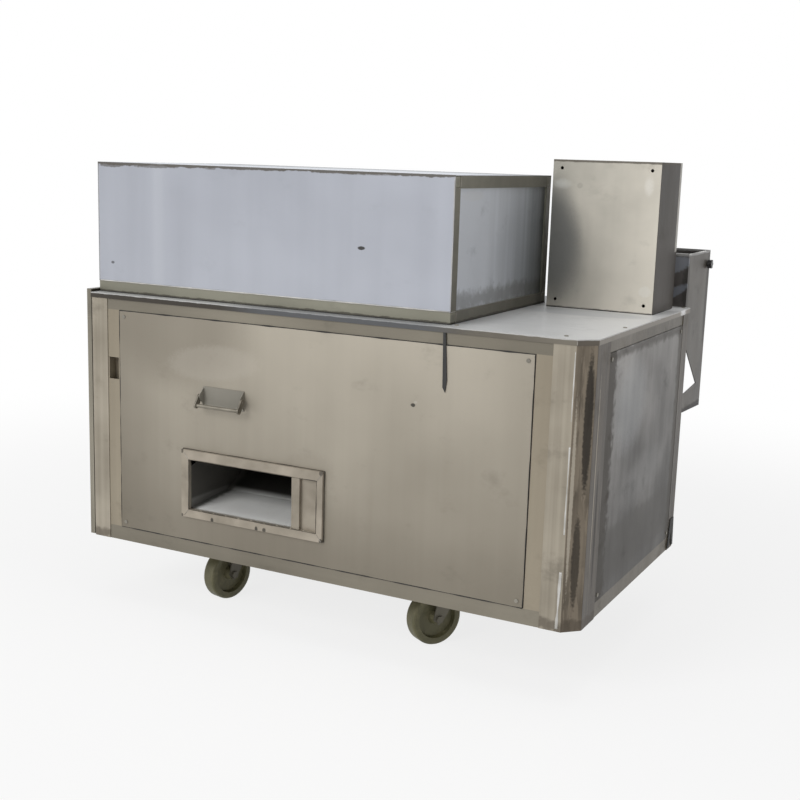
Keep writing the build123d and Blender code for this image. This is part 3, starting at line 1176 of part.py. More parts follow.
def motor_sprocket():
    """The small chain wheel on the motor's output shaft."""
    wheel = Pos(MOTOR_X, MOTOR_Z) * sprocket(SPROCKET_TEETH, MOTOR_SPROCKET - LIP_GAP, TOOTH_DEPTH * 0.6)
    hub = round_bar("Y", MOTOR_X, CONVEYOR_Y - DRIVE_WIDTH / 2, MOTOR_Z, 2 * DRIVE_WIDTH, SHAFT_RADIUS)
    return across(wheel, CONVEYOR_Y - DRIVE_WIDTH / 2, CONVEYOR_Y + DRIVE_WIDTH / 2) + hub


def inline_motor(x, y, z, gear_radius, gear_length, motor_radius, motor_length):
    """A geared motor that runs back from a point: gearbox, finned body, fan cover and terminal box."""
    body = round_bar("Y", x, y, z, gear_length, gear_radius)
    body += round_bar("Y", x, y + gear_length, z, motor_length, motor_radius * 0.9)
    fins = 6
    for fin in range(fins):
        y0 = y + gear_length + (fin + 0.5) * motor_length * 0.75 / fins
        body += round_bar("Y", x, y0, z, motor_length * 0.04, motor_radius)
    body += round_bar("Y", x, y + gear_length + motor_length * 0.8, z, motor_length * 0.2, motor_radius)
    half, y1 = motor_radius * 0.45, y + gear_length + TERMINAL_INSET
    return body + block(x - half, x + half, y1, y1 + 2 * half, z, z + motor_radius * 1.35)


def gear_motors():
    """The punch drive on its stand on the deck, and the conveyor's own geared motor on the tail shaft."""
    y0 = CONVEYOR_Y + DRIVE_WIDTH * 1.5 + SLIDE_GAP
    drive = inline_motor(MOTOR_X, y0, MOTOR_Z, *DRIVE_MOTOR)
    middle, under = y0 + DRIVE_MOTOR[1] / 2, MOTOR_Z - DRIVE_MOTOR[0] * 0.7
    width, depth, wall = STAND
    x0, x1, y1, y2 = MOTOR_X - width / 2, MOTOR_X + width / 2, middle - depth / 2, middle + depth / 2
    stand = tube("Y", x0, x1, y1, y2, DECK_Z, under, wall)
    width, depth, height = STAND_FOOT
    x0, x1, y1, y2 = MOTOR_X - width / 2, MOTOR_X + width / 2, middle - depth / 2, middle + depth / 2
    foot = block(x0, x1, y1, y2, DECK_Z, DECK_Z + height)
    y1 = CONVEYOR_Y + TRACK_OUTER + BEARING_HEIGHT + SEAT_GAP
    conveyor = inline_motor(TAIL_X, y1, SHAFT_Z, *BELT_MOTOR)
    conveyor -= round_bar("Y", TAIL_X, y1 - 1.0, SHAFT_Z, RAIL + 1.0, SHAFT_RADIUS + SHAFT_FIT)
    return [drive + stand + foot, conveyor]


# ---------------------------------------------------------------- feed, pit chute and drawer
def hopper_side(x):
    """A hopper cheek with the triangular opening beside the cabinet."""
    low = HOPPER_TOP - HOPPER_DROP
    y0 = CABINET_DEPTH + SEAT_GAP
    plate = outline((y0, low + CHEEK_RAKE), (HOPPER_BACK, low), (HOPPER_BACK, HOPPER_TOP), (y0, HOPPER_TOP))
    front, foot, apex, peak = CHEEK_WINDOW
    z0, z1 = DECK_Z - foot, DECK_Z - peak
    window = outline((y0 + front, z0), (HOPPER_BACK - CHEEK_BACK, z0 + CHEEK_RAKE * 1.6), (y0 + apex, z1))
    return along(plate - window, x, x + HOPPER_SHEET)


def hopper_sides():
    """The two cheeks of the hopper."""
    return [hopper_side(HOPPER_LEFT), hopper_side(HOPPER_RIGHT - HOPPER_SHEET)]


def feed_floor(y):
    """The height of the sloping feed floor at a depth."""
    return FEED_Z + FEED_BOARD + (y - CABINET_DEPTH) * tan(radians(FEED_SLOPE))


def hopper_walls():
    """The front wall above the deck, and the back wall that folds into the sloping floor."""
    x0, x1 = HOPPER_LEFT + HOPPER_SHEET + SEAT_GAP, HOPPER_RIGHT - HOPPER_SHEET - SEAT_GAP
    y0 = CABINET_DEPTH + SEAT_GAP
    path = [(y0 + RAIL / 2, HOPPER_TOP), (y0, HOPPER_TOP), (y0, DECK_Z - DECK_LIP)]
    front = along(folded(path, HOPPER_SHEET / 2), x0, x1)
    back = HOPPER_BACK - LIP_GAP
    path = [(y0, feed_floor(y0)), (back, feed_floor(back)), (back, HOPPER_TOP)]
    return [front, along(folded(path, HOPPER_SHEET / 2), x0, x1)]


def hopper_knob():
    """The dark clamping knob on the outside of the right cheek."""
    y, z = HOPPER_BACK - KNOB_BACK, HOPPER_TOP - KNOB_DROP
    x0 = HOPPER_RIGHT + SLIDE_GAP
    grip = along(Pos(y, z) * sprocket(6, KNOB_SIZE, 3.0), x0 + 2.0, CABINET_LENGTH)
    return grip + round_bar("X", x0, y, z, 3.0, KNOB_SIZE * 0.6)


def inner_chutes():
    """The sloping feed board, the tray onto the moulds, and the pit chute between the conveyor's runs."""
    x0, x1 = HOPPER_LEFT + FEED_LIP / 2 + PANEL_JOINT, HOPPER_RIGHT - FEED_LIP - PANEL_JOINT
    y0, y1 = CONVEYOR_Y + TRACK_OUTER + SEAT_GAP, CABINET_DEPTH - RAIL_FACE - SEAT_GAP
    z_low = feed_floor(y0)
    board = along(folded([(y0, z_low), (y1, feed_floor(y1))], CHUTE_SHEET), x0 + RAIL, x1)
    tray_x = TAIL_X + TRACK_OVERHANG + SEAT_GAP
    rise = (x1 - tray_x) * 0.06
    path = [(tray_x, MOULD_Z + SEAT_GAP), (x1, MOULD_Z + rise), (x1, MOULD_Z + rise + RAIL)]
    feed = across(folded(path, CHUTE_SHEET), CONVEYOR_Y - TRACK_OUTER, y0 - LIP_GAP)
    half = NOTCH_HALF - SEAT_GAP
    front, back = CONVEYOR_Y - TRACK_OFFSET + LIP_GAP, CONVEYOR_Y + TRACK_OUTER + 2 * RAIL
    z_back = SHAFT_Z - RAIL / 2
    z_front = SHAFT_Z + RAIL * 0.8
    pits = along(folded([(front, z_front), (back, z_back)], CHUTE_SHEET), PUNCH_X - half, PUNCH_X + half)
    high = z_front + PIT_WALL * 0.7
    for x in (PUNCH_X - half, PUNCH_X + half - CHUTE_SHEET):
        side = outline((front, z_front), (back, z_back), (back, z_back + PIT_WALL), (front, high))
        pits += along(side, x, x + CHUTE_SHEET)
    return [board, feed, pits]


def pit_drawer():
    """The drawer for the pits, which slides out at the back, with a turned-up flange for a grip."""
    z0 = RAIL_TOP + PANEL_SHEET + SEAT_GAP
    y1 = CABINET_DEPTH - RAIL_FACE + PANEL_SHEET + SEAT_GAP
    x0, x1, z1 = DRAWER_LEFT, DRAWER_LEFT + DRAWER_WIDTH, z0 + DRAWER_HEIGHT
    box = tray(x0, x1, y1 - DRAWER_DEPTH, y1, z0, z1, DRAWER_SHEET, "+Z")
    lap = DRAWER_FLANGE
    face = block(x0 - lap, x1 + lap, y1, y1 + DRAWER_SHEET, z0, z1 + lap)
    length, reach, width = DRAWER_PULL
    left, right, front = (x0 + x1 - length) / 2, (x0 + x1 + length) / 2, y1 + DRAWER_SHEET
    path = [(right, front), (right, front + reach), (left, front + reach), (left, front)]
    z2 = (z0 + z1) / 2
    return box + face + upward(folded(path, PULL_SHEET), z2, z2 + width)


# ---------------------------------------------------------------- castors
def castor_plates():
    """The four top plates under the cross tubes, each with its swivel housing."""
    length, width, sheet = CASTOR_PLATE
    found = []
    spacing_x, spacing_y = CASTOR_HOLES
    for x, y in WHEEL_CASTORS.values():
        plate = block(x - length / 2, x + length / 2, y - width / 2, y + width / 2, BODY_Z - sheet, BODY_Z)
        for sx in (-0.5, 0.5):
            for sy in (-0.5, 0.5):
                place = (x + sx * spacing_x, y + sy * spacing_y, BODY_Z - sheet - 1.0)
                plate -= round_bar("Z", *place, sheet + 2.0, CASTOR_HOLE_RADIUS)
        housing = round_bar("Z", x, y, BODY_Z - sheet - SWIVEL_HEIGHT, SWIVEL_HEIGHT + 1.0, SWIVEL_RADIUS)
        found.append(plate + housing)
    return found


def castor_fork(name):
    """The swivelling fork, with the axle bolt that the wheel turns on."""
    top = BODY_Z - CASTOR_PLATE[2] - SWIVEL_HEIGHT - SLIDE_GAP
    inside, outside = FORK_INSIDE / 2, FORK_INSIDE / 2 + FORK_SHEET
    crown = block(-SWIVEL_RADIUS, SWIVEL_RADIUS - 4.0, -outside, outside, top - CROWN_THICKNESS, top)
    leg = outline(
        (-SWIVEL_RADIUS, top),
        (SWIVEL_RADIUS - 4.0, top),
        (SWIVEL_RADIUS - 8.0, top - 24.0),
        (-TRAIL + 17.0, WHEEL_RADIUS),
        (-TRAIL, WHEEL_RADIUS - 17.0),
        (-TRAIL - 17.0, WHEEL_RADIUS),
        (-SWIVEL_RADIUS - 10.0, top - 30.0),
    )
    fork = crown
    for y0 in (-outside, inside):
        fork += across(leg, y0, y0 + FORK_SHEET)
    fork += round_bar("Y", -TRAIL, -outside - 1.0, WHEEL_RADIUS, 2 * outside + 2.0, AXLE_RADIUS)
    for y0 in (-outside - AXLE_RADIUS, outside):
        head = Pos(-TRAIL, WHEEL_RADIUS) * RegularPolygon(AXLE_HEAD, 6)
        fork += across(head, y0, y0 + AXLE_RADIUS)
    x, y = WHEEL_CASTORS[name]
    return Pos(x, y, 0) * Rotation(0, 0, CASTOR_TURN[name]) * fork


def castor_wheel(name):
    """The wheel: a turned tyre with bevelled shoulders, a thin web and a long hub."""
    half, hub, web = WHEEL_WIDTH / 2, FORK_INSIDE / 2 - LIP_GAP, WHEEL_WEB / 2
    bore, shoulder = AXLE_RADIUS + SHAFT_FIT, WHEEL_SHOULDER
    side = [
        (bore, hub),
        (HUB_RADIUS - 4.0, hub),
        (HUB_RADIUS, web),
        (WHEEL_RIM_RADIUS - 3.0, web),
        (WHEEL_RIM_RADIUS, half),
        (WHEEL_RADIUS - shoulder, half),
        (WHEEL_RADIUS - shoulder * 0.3, half - shoulder * 0.3),
        (WHEEL_RADIUS, half - shoulder),
    ]
    edge = outline(*side, *[(radius, -width) for radius, width in reversed(side)])
    wheel = revolve(edge, axis=Axis.Y)
    x, y = WHEEL_CASTORS[name]
    return Pos(x, y, 0) * Rotation(0, 0, CASTOR_TURN[name]) * Pos(-TRAIL, 0, WHEEL_RADIUS) * wheel


# ---------------------------------------------------------------- everything, one file for each sub-part
def parts():
    """Every sub-part by name, in the cabinet's frame."""
    back_posts = [to_back(corner_post(0, POST_FACE)), to_back(to_right(corner_post(0, POST_FACE)))]
    found = {
        "base_rails": base_rails(),
        "floor_pan": [floor_pan()],
        "corner_post_front_right": [to_right(corner_post(CORNER_CHAMFER, POST_SIDE))],
        "corner_posts": [corner_post(0, POST_FACE), *back_posts],
        "front_stiles": stiles(),
        "top_rails": top_rails(),
        "deck_plate": [deck_plate()],
        "front_panel": [front_panel()],
        "right_panel": [right_panel()],
        "left_cover": [left_cover()],
        "rear_panel": [rear_panel()],
        "discharge_trim": discharge_trim(),
        "discharge_gate": [discharge_gate()],
        "discharge_chute": [discharge_chute()],
        "handle_plate": [handle_plate()],
        "bail_handle": [bail_handle()],
        "rubber_strap": [rubber_strap(), corner_buffer()],
        "panel_screws": panel_screws(),
        "hood_frame": hood_frame(),
        "hood_front_sheet": [hood_front_sheet()],
        "hood_sheets": [*hood_side_sheets(), hood_top_sheet()],
        "hood_door": [hood_door()],
        "hinges": hinges(),
        "control_box_shell": [control_box_shell()],
        "control_gear": [control_gear()],
        "control_box_door": [control_box_door()],
        "start_button": [push_button("start_button")],
        "stop_button": [push_button("stop_button")],
        "emergency_stop": [emergency_stop()],
        "speed_knob": [speed_knob()],
        "door_latch": [door_latch()],
        "conveyor_slats": conveyor_slats(),
        "chains": [*conveyor_chains(), drive_chain()],
        "conveyor_track": conveyor_track(),
        "bearing_housings": bearing_housings(),
        "head_shaft": [conveyor_shaft(HEAD_X, SHAFT_REACH, SHAFT_REACH)],
        "tail_shaft": [conveyor_shaft(TAIL_X, SHAFT_REACH, SHAFT_REACH - SHAFT_END + RAIL)],
        "brush_roller": [brush_roller()],
        "punch_plates": [stripper_plate(), head_plate()],
        "guide_columns": guide_columns(),
        "needle_beam": [needle_beam()],
        "needles": needles(),
        "crankshaft": [crankshaft()],
        "connecting_rod_front": [connecting_rod(-1)],
        "connecting_rod_rear": [connecting_rod(1)],
        "motor_sprocket": [motor_sprocket()],
        "gear_motors": gear_motors(),
        "hopper": [*hopper_sides(), *hopper_walls()],
        "hopper_knob": [hopper_knob()],
        "inner_chutes": inner_chutes(),
        "pit_drawer": [pit_drawer()],
        "castor_plates": castor_plates(),
    }
    for name in WHEEL_CASTORS:
        found[f"castor_fork_{name}"] = [castor_fork(name)]
        found[f"castor_wheel_{name}"] = [castor_wheel(name)]
    return found


def write_parts():
    """Moves every sub-part to the part's own origin and writes it."""
    os.makedirs("parts", exist_ok=True)
    shift = Pos(-ORIGIN[0], -ORIGIN[1], 0)
    for name, pieces in parts().items():
        solids = [solid for piece in pieces for solid in (shift * piece).solids()]
        shape = solids[0] if len(solids) == 1 else Compound(children=solids)
        export_step(shape, f"parts/{name}.step")


write_parts()
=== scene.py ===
"""A stainless fruit-pitting machine on castors, dressed and lit for its photograph.

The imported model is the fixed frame: every node keeps its mesh and gets a procedural finish here. The thin
things that sheet-metal work leaves behind, such as weld beads, edges of protective film and the frayed
rubber, are made here as surfaces. Lengths are metres in the model's own frame, unless a name says mm.
"""

import logging
import math
from abc import ABC, abstractmethod
from dataclasses import dataclass
from enum import Enum
from typing import Callable, ClassVar, Iterable, Mapping, Union

import bmesh
import bpy
import numpy as np
from mathutils import Matrix, Vector


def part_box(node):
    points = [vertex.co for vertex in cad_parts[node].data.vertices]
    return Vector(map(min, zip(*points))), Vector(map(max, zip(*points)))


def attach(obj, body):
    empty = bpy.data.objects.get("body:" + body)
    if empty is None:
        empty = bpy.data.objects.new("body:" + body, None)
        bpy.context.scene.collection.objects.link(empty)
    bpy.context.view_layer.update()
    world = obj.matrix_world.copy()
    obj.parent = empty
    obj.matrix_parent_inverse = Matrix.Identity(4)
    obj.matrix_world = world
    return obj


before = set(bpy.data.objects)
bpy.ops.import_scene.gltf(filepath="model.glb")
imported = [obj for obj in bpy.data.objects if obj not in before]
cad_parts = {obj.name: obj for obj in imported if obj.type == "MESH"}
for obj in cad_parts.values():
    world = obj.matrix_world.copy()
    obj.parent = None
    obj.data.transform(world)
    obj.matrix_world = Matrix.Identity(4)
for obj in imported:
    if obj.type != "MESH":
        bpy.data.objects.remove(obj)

LOG = logging.getLogger("pitting_machine")
Colour = tuple[float, float, float]
Triple = tuple[float, float, float]
PER_METRE = 1000  # millimetres in a metre
WELD_SCALE_MM = 3.2  # the length of one scale of a weld
PLUG_CROWN_MM = 0.5  # how far a plug's middle stands out
PLUG_DROP_MM = 3.0  # and how far its rim reaches into the tube
MARK_RIM = 1.2  # where a mark begins, in its radii squared
MARK_GRAIN = (160.0, 160.0, 160.0)  # lumps per metre of the noise that roughens marks
BAND_GRAIN = (38.0, 38.0, 38.0)  # and of the noise that moves a band's borders
RAG_GRAIN = (75.0, 75.0, 9.0)  # and of the upright rags of torn film


def at(x_mm: float, y_mm: float, z_mm: float) -> Vector:
    """Turns a place on the cabinet into the frame's metres.

    Args:
        x_mm: millimetres from the cabinet's left end.
        y_mm: millimetres back from the deck's front edge.
        z_mm: millimetres above the floor.

    Returns:
        The same place in the model's frame.
    """
    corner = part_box("deck_plate")[0]
    return Vector((corner.x + x_mm / PER_METRE, corner.y + y_mm / PER_METRE, z_mm / PER_METRE))


# ---------------- materials
def arithmetic(kind: str, swapped: bool = False) -> Callable[["Wire", "Operand"], "Wire"]:
    """The method for one arithmetic sign between wires.

    Args:
        kind: the Math node's operation.
        swapped: whether the wire stands on the right of the sign.

    Returns:
        The method.
    """

    def act(wire: "Wire", other: "Operand") -> "Wire":
        """Makes the sign's Math node."""
        return wire.graph.math(kind, *((other, wire) if swapped else (wire, other)))

    return act


class Wire:
    """A number inside a node tree, which adds and scales by making Math nodes."""

    __add__ = arithmetic("ADD")
    __radd__ = arithmetic("ADD", swapped=True)
    __sub__ = arithmetic("SUBTRACT")
    __mul__ = arithmetic("MULTIPLY")
    __truediv__ = arithmetic("DIVIDE")

    def __init__(self, graph: "Graph", socket: bpy.types.NodeSocket) -> None:
        """Holds one output socket of a node tree."""
        self.graph = graph
        self.socket = socket

    def squared(self) -> "Wire":
        """The square."""
        return self.graph.math("POWER", self, 2.0)

    def step(self, low: float, high: float) -> "Wire":
        """A smooth rise from 0 at low to 1 at high; low may be the greater."""
        return self.graph.step(self, low, high)


Operand = Union[Wire, float]


def scaled(colour: Colour, factor: float) -> Colour:
    """A colour made darker or lighter by a factor, to 1 at most."""
    return tuple(min(1.0, factor * part) for part in colour)


class Graph:
    """A node tree that starts empty, and short ways to fill it."""

    def __init__(self, nodes: bpy.types.NodeTree) -> None:
        """Takes over a node tree and empties it."""
        self.graph = nodes
        self.graph.nodes.clear()

    def node(
        self, kind: str, feeds: Mapping[object, object] | None = None, **settings: object
    ) -> bpy.types.Node:
        """Makes one node.

        Args:
            kind: the node's class name.
            feeds: what goes into each input, by name or number: a wire, a socket or a plain value.
            settings: the node's own options.

        Returns:
            The new node.
        """
        made = self.graph.nodes.new(kind)
        for name, value in settings.items():
            setattr(made, name, value)
        for key, value in (feeds or {}).items():
            self.feed(made.inputs[key], value)
        return made

    def feed(self, socket: bpy.types.NodeSocket, value: object) -> None:
        """Links a wire or a socket to an input, or sets the input to a plain value."""
        if isinstance(value, Wire):
            value = value.socket
        if isinstance(value, bpy.types.NodeSocket):
            self.graph.links.new(value, socket)
        elif isinstance(value, tuple) and len(value) == 3 and len(socket.default_value) == 4:
            socket.default_value = (*value, 1.0)
        else:
            socket.default_value = value

    def math(self, operation: str, *values: Operand) -> Wire:
        """One Math node on one to three values."""
        return Wire(self, self.node("ShaderNodeMath", dict(enumerate(values)), operation=operation).outputs[0])

    def step(self, value: Operand, low: float, high: float, start: float = 0.0, end: float = 1.0) -> Wire:
        """A smooth change from start, where the value is low, to end, where it is high."""
        feeds = {0: value, 1: low, 2: high, 3: start, 4: end}
        return Wire(self, self.node("ShaderNodeMapRange", feeds, interpolation_type="SMOOTHSTEP").outputs[0])


class Tree(Graph):
    """One material's nodes, with the coordinates of the piece ready to use."""

    def __init__(self, name: str) -> None:
        """Starts an empty material of a name."""
        self.material = bpy.data.materials.new(name)
        self.material.use_nodes = True
        super().__init__(self.material.node_tree)
        self.place = self.node("ShaderNodeTexCoord").outputs["Object"]
        parts = self.node("ShaderNodeSeparateXYZ", {0: self.place}).outputs
        self.x, self.y, self.z = (Wire(self, part) for part in parts)

    def noise(self, per_metre: Triple, detail: float = 2.0, rough: float = 0.5, seed: float = 0.0) -> Wire:
        """Cloudy noise from 0 to 1.

        Args:
            per_metre: how many lumps there are in a metre along X, Y and Z.
            detail: how many finer layers it has.
            rough: how strong the finer layers are.
            seed: shifts it to another part of the noise.

        Returns:
            The noise as a wire.
        """
        feeds = {"Vector": self.place, "Scale": per_metre, "Location": (seed, seed * 0.7, seed * 1.3)}
        mapped = self.node("ShaderNodeMapping", feeds).outputs[0]
        feeds = {"Vector": mapped, "Scale": 1.0, "Detail": detail, "Roughness": rough}
        return Wire(self, self.node("ShaderNodeTexNoise", feeds).outputs[0])

    def blend(self, factor: Operand, first: object, second: object) -> bpy.types.NodeSocket:
        """A colour that goes from first to second as the factor goes from 0 to 1."""
        feeds = {0: factor, 6: first, 7: second}
        return self.node("ShaderNodeMix", feeds, data_type="RGBA", clamp_factor=True).outputs[2]

    def bump(self, height: Operand, depth: float) -> bpy.types.NodeSocket:
        """The surface's normal over a height from 0 to 1 that stands for a depth in metres."""
        return self.node("ShaderNodeBump", {"Height": height, "Distance": depth, "Strength": 1.0}).outputs[0]

    def surface(self, **inputs: object) -> None:
        """Ends the material in one Principled shader; an underscore in a name stands for a space."""
        feeds = {name.replace("_", " "): value for name, value in inputs.items()}
        shader = self.node("ShaderNodeBsdfPrincipled", feeds)
        self.node("ShaderNodeOutputMaterial", {"Surface": shader.outputs[0]})


class Grain(Enum):
    """Which way a sheet was brushed or rolled: the 1 marks the axis that runs along the grain."""

    UPRIGHT = (0, 0, 1)
    LEVEL = (1, 0, 0)
    DEEP = (0, 1, 0)

    def stretched(self, across: float, along: float) -> Triple:
        """Lumps per metre: many across the grain and few along it."""
        return tuple(along if part else across for part in self.value)


PAINTED: dict[str, bpy.types.Material] = {}


class Finish(ABC):
    """One way that a surface looks."""

    name: str

    @abstractmethod
    def paint(self, tree: Tree) -> None:
        """Fills a new material's tree."""

    def material(self) -> bpy.types.Material:
        """The finish as a material, made once and kept apart from the frame's own materials."""
        if self.name not in PAINTED:
            tree = Tree(self.name)
            self.paint(tree)
            PAINTED[self.name] = tree.material
        return PAINTED[self.name]


@dataclass(frozen=True)
class Mark:
    """A soft-edged oval on a sheet facing along one axis: a scuff, dent or stain, or painted shade or light."""

    centre_mm: Triple
    radius_mm: Triple
    tilt_deg: float = 0.0
    strength: float = 1.0
    ragged: float = 0.35
    colour: Colour = (0.03, 0.028, 0.024)
    fade: float = 0.7

    def mask(self, tree: Tree) -> Wire:
        """How strongly the mark covers a point, from 0 to its strength.

        The distance is that of an oval: each offset from the centre over that way's radius, squared and
        summed. Fine noise roughens it, and the mark rises smoothly over the fade below the rim.
        """
        middle = at(*self.centre_mm)
        turn = math.radians(self.tilt_deg)
        dx, dy, dz = tree.x - middle.x, tree.y - middle.y, tree.z - middle.z
        wide, deep, high = (size / PER_METRE for size in self.radius_mm)
        if wide <= deep:
            dx, dy, wide, deep = dy, dx, deep, wide
        along = dx * math.cos(turn) + dz * math.sin(turn)
        upward = dz * math.cos(turn) - dx * math.sin(turn)
        far = (along / wide).squared() + (upward / high).squared() + (dy / deep).squared()
        far = far + (tree.noise(MARK_GRAIN, 3.0) - 0.5) * (2.0 * self.ragged)
        return far.step(MARK_RIM, MARK_RIM - self.fade) * self.strength


@dataclass(frozen=True)
class Band:
    """A soft-edged stripe across a sheet, between two planes square to one axis, with ragged borders."""

    axis: int
    low_mm: float
    high_mm: float
    colour: Colour
    strength: float = 1.0
    soft_mm: float = 2.0
    ragged_mm: float = 0.0

    def mask(self, tree: Tree) -> Wire:
        """How strongly the stripe covers a point.

        The place along the axis, shifted by noise times the raggedness, rises through the low border and
        falls through the high one; the mask is the product of the two.
        """
        place = (tree.x, tree.y, tree.z)[self.axis]
        if self.ragged_mm:
            place = place + (tree.noise(BAND_GRAIN, 4.0, 0.6, 5.0) - 0.5) * (2 * self.ragged_mm / PER_METRE)
        low = at(*(self.low_mm,) * 3)[self.axis]
        high = at(*(self.high_mm,) * 3)[self.axis]
        half = self.soft_mm / 2 / PER_METRE
        return place.step(low - half, low + half) * place.step(high + half, high - half) * self.strength


@dataclass(frozen=True)
class Facet:
    """Tones of the faces beyond a plane, mostly painted shade where faces turn from the light, with film rags.
    """

    way: Triple
    reach_mm: float
    light: Colour
    dark: Colour
    soft_mm: float = 0.5
    torn: float = 0.0

    def mask(self, tree: Tree) -> Wire:
        """How far a point lies beyond the plane, as a rise over the soft width.

        The plane stands square to a direction, at a reach from the cabinet's front left corner on the floor.
        """
        start = at(0.0, 0.0, 0.0).dot(Vector(self.way)) + self.reach_mm / PER_METRE
        place: Operand = 0.0
        for axis, part in zip((tree.x, tree.y, tree.z), self.way):
            if part:
                place = axis * part + place
        return place.step(start - self.soft_mm / PER_METRE, start)

    def lay(self, tree: Tree, tone: Wire, under: object) -> bpy.types.NodeSocket:
        """Lays the facet's own tones, with upright rags of film where they are left, over a colour."""
        own = tree.blend(tone.step(0.0, 1.0), self.dark, self.light)
        if self.torn:
            rag = tree.noise(RAG_GRAIN, 5.0, 0.66, 21.0).step(0.50, 0.58)
            own = tree.blend(rag * self.torn, own, self.light)
        return tree.blend(self.mask(tree), under, own)


@dataclass(frozen=True)
class SteelSheet(Finish):
    """Stainless sheet: a drifting tone, soft clouds, streaks along the grain, dirt and fine scratches."""

    name: str
    light: Colour
    dark: Colour
    grain: Grain = Grain.UPRIGHT
    level: float = 0.5
    drift: Triple = (0.0, 0.0, 0.0)
    drift_from_mm: Triple = (730.0, 0.0, 540.0)
    cloud: float = 0.5
    cloud_per_metre: float = 2.2
    streak: float = 0.4
    streak_per_metre: float = 26.0
    metallic: float = 0.28
    roughness: float = 0.40
    coat: float = 0.0
    dirt: float = 0.25
    wave_depth: float = 0.012
    facets: tuple[Facet, ...] = ()
    marks: tuple[Union[Mark, Band], ...] = ()
    seed: float = 0.0

    def tone(self, tree: Tree) -> Wire:
        """Where the surface lies between its dark and its light colour.

        It is a level, plus a steady drift over the sheet, plus broad clouds, plus streaks that are long
        along the grain and narrow across it.
        """
        origin = at(*self.drift_from_mm)
        value = self.level + (tree.x - origin.x) * self.drift[0]
        value = value + (tree.y - origin.y) * self.drift[1] + (tree.z - origin.z) * self.drift[2]
        cloud = tree.noise((self.cloud_per_metre,) * 3, 3.0, 0.45, self.seed)
        streak = tree.noise(self.grain.stretched(self.streak_per_metre, 0.7), 2.0, 0.55, self.seed + 3.0)
        return value + (cloud - 0.5) * (2.0 * self.cloud) + (streak - 0.5) * self.streak

    def paint(self, tree: Tree) -> None:
        """Lays tone, marks and dirt into the colour, and scratches into roughness and normal."""
        tone = self.tone(tree)
        colour = tree.blend(tone.step(0.0, 1.0), self.dark, self.light)
        # Facets lay painted shade on faces turned from the light; marks lay real scuffs and painted shade or
        # light.
        for facet in self.facets:
            colour = facet.lay(tree, tone, colour)
        smudge = tree.noise((9.0, 9.0, 13.0), 5.0, 0.62, self.seed + 7.0).step(0.56, 0.80)
        colour = tree.blend(smudge * self.dirt, colour, scaled(self.dark, 0.45))
        smudge_and_marks = smudge
        for mark in self.marks:
            mask = mark.mask(tree)
            colour = tree.blend(mask, colour, mark.colour)
            smudge_and_marks = smudge_and_marks + mask
        fine = tree.noise(self.grain.stretched(900.0, 9.0), 2.0, 0.6, self.seed + 11.0)
        broad = tree.noise((3.4, 3.4, 2.6), 2.0, 0.5, self.seed + 17.0)
        tree.surface(
            Base_Color=colour,
            Metallic=self.metallic,
            Roughness=self.roughness + (fine - 0.5) * 0.16 + smudge_and_marks * 0.12,
            Coat_Weight=self.coat,
            Coat_Roughness=0.22,
            Specular_IOR_Level=0.3,
            Normal=tree.bump(broad + fine * 0.012, self.wave_depth),
        )


@dataclass(frozen=True)
class Machined(Finish):
    """Turned or ground steel: fine rings or lines, a film of oil and a little discolouring."""

    name: str
    light: Colour = (0.56, 0.56, 0.55)
    dark: Colour = (0.30, 0.29, 0.27)
    metallic: float = 0.85
    roughness: float = 0.30
    oil: float = 0.35

    def paint(self, tree: Tree) -> None:
        """Blends the two tones by clouds, and darkens where oil has gathered."""
        cloud = tree.noise((14.0, 14.0, 14.0), 4.0, 0.6)
        film = tree.noise((55.0, 55.0, 30.0), 3.0, 0.6, 4.0).step(0.5, 0.75)
        colour = tree.blend(cloud.step(0.25, 0.75), self.dark, self.light)
        colour = tree.blend(film * self.oil, colour, scaled(self.dark, 0.35))
        lines = tree.noise((600.0, 600.0, 600.0), 1.0, 0.5)
        tree.surface(
            Base_Color=colour,
            Metallic=self.metallic,
            Roughness=self.roughness + (lines - 0.5) * 0.2 - film * 0.08,
            Normal=tree.bump(lines, 0.00008),
        )


@dataclass(frozen=True)
class Moulded(Finish):
    """Moulded plastic or rubber: a faint texture, dust in patches, and scuffs on what is handled."""

    name: str
    colour: Colour
    dust: Colour = (0.42, 0.40, 0.34)
    dusty: float = 0.25
    roughness: float = 0.45
    texture: float = 0.00012
    texture_per_metre: float = 900.0
    coat: float = 0.0

    def paint(self, tree: Tree) -> None:
        """Lays dust over the colour where broad noise is high, and grains the surface."""
        patch = tree.noise((24.0, 24.0, 24.0), 5.0, 0.65).step(0.42, 0.78)
        tint = tree.noise((6.0, 6.0, 6.0), 2.0, 0.5, 2.0)
        colour = tree.blend(tint, scaled(self.colour, 0.8), scaled(self.colour, 1.15))
        colour = tree.blend(patch * self.dusty, colour, self.dust)
        grain = tree.noise((self.texture_per_metre,) * 3, 2.0, 0.5)
        tree.surface(
            Base_Color=colour,
            Roughness=self.roughness + patch * 0.2,
            Coat_Weight=self.coat,
            Normal=tree.bump(grain, self.texture),
        )


@dataclass(frozen=True)
class Bristle(Finish):
    """Rows of nylon bristle: fine upright strokes, lighter at the tips."""

    name: str
    tips: Colour = (0.74, 0.74, 0.70)
    roots: Colour = (0.30, 0.29, 0.26)

    def paint(self, tree: Tree) -> None:
        """Strokes that are narrow along the roller and long around it."""
        stroke = tree.noise((90.0, 1400.0, 90.0), 2.0, 0.6)
        colour = tree.blend(stroke.step(0.3, 0.7), self.roots, self.tips)
        tree.surface(Base_Color=colour, Roughness=0.7, Normal=tree.bump(stroke, 0.0008))


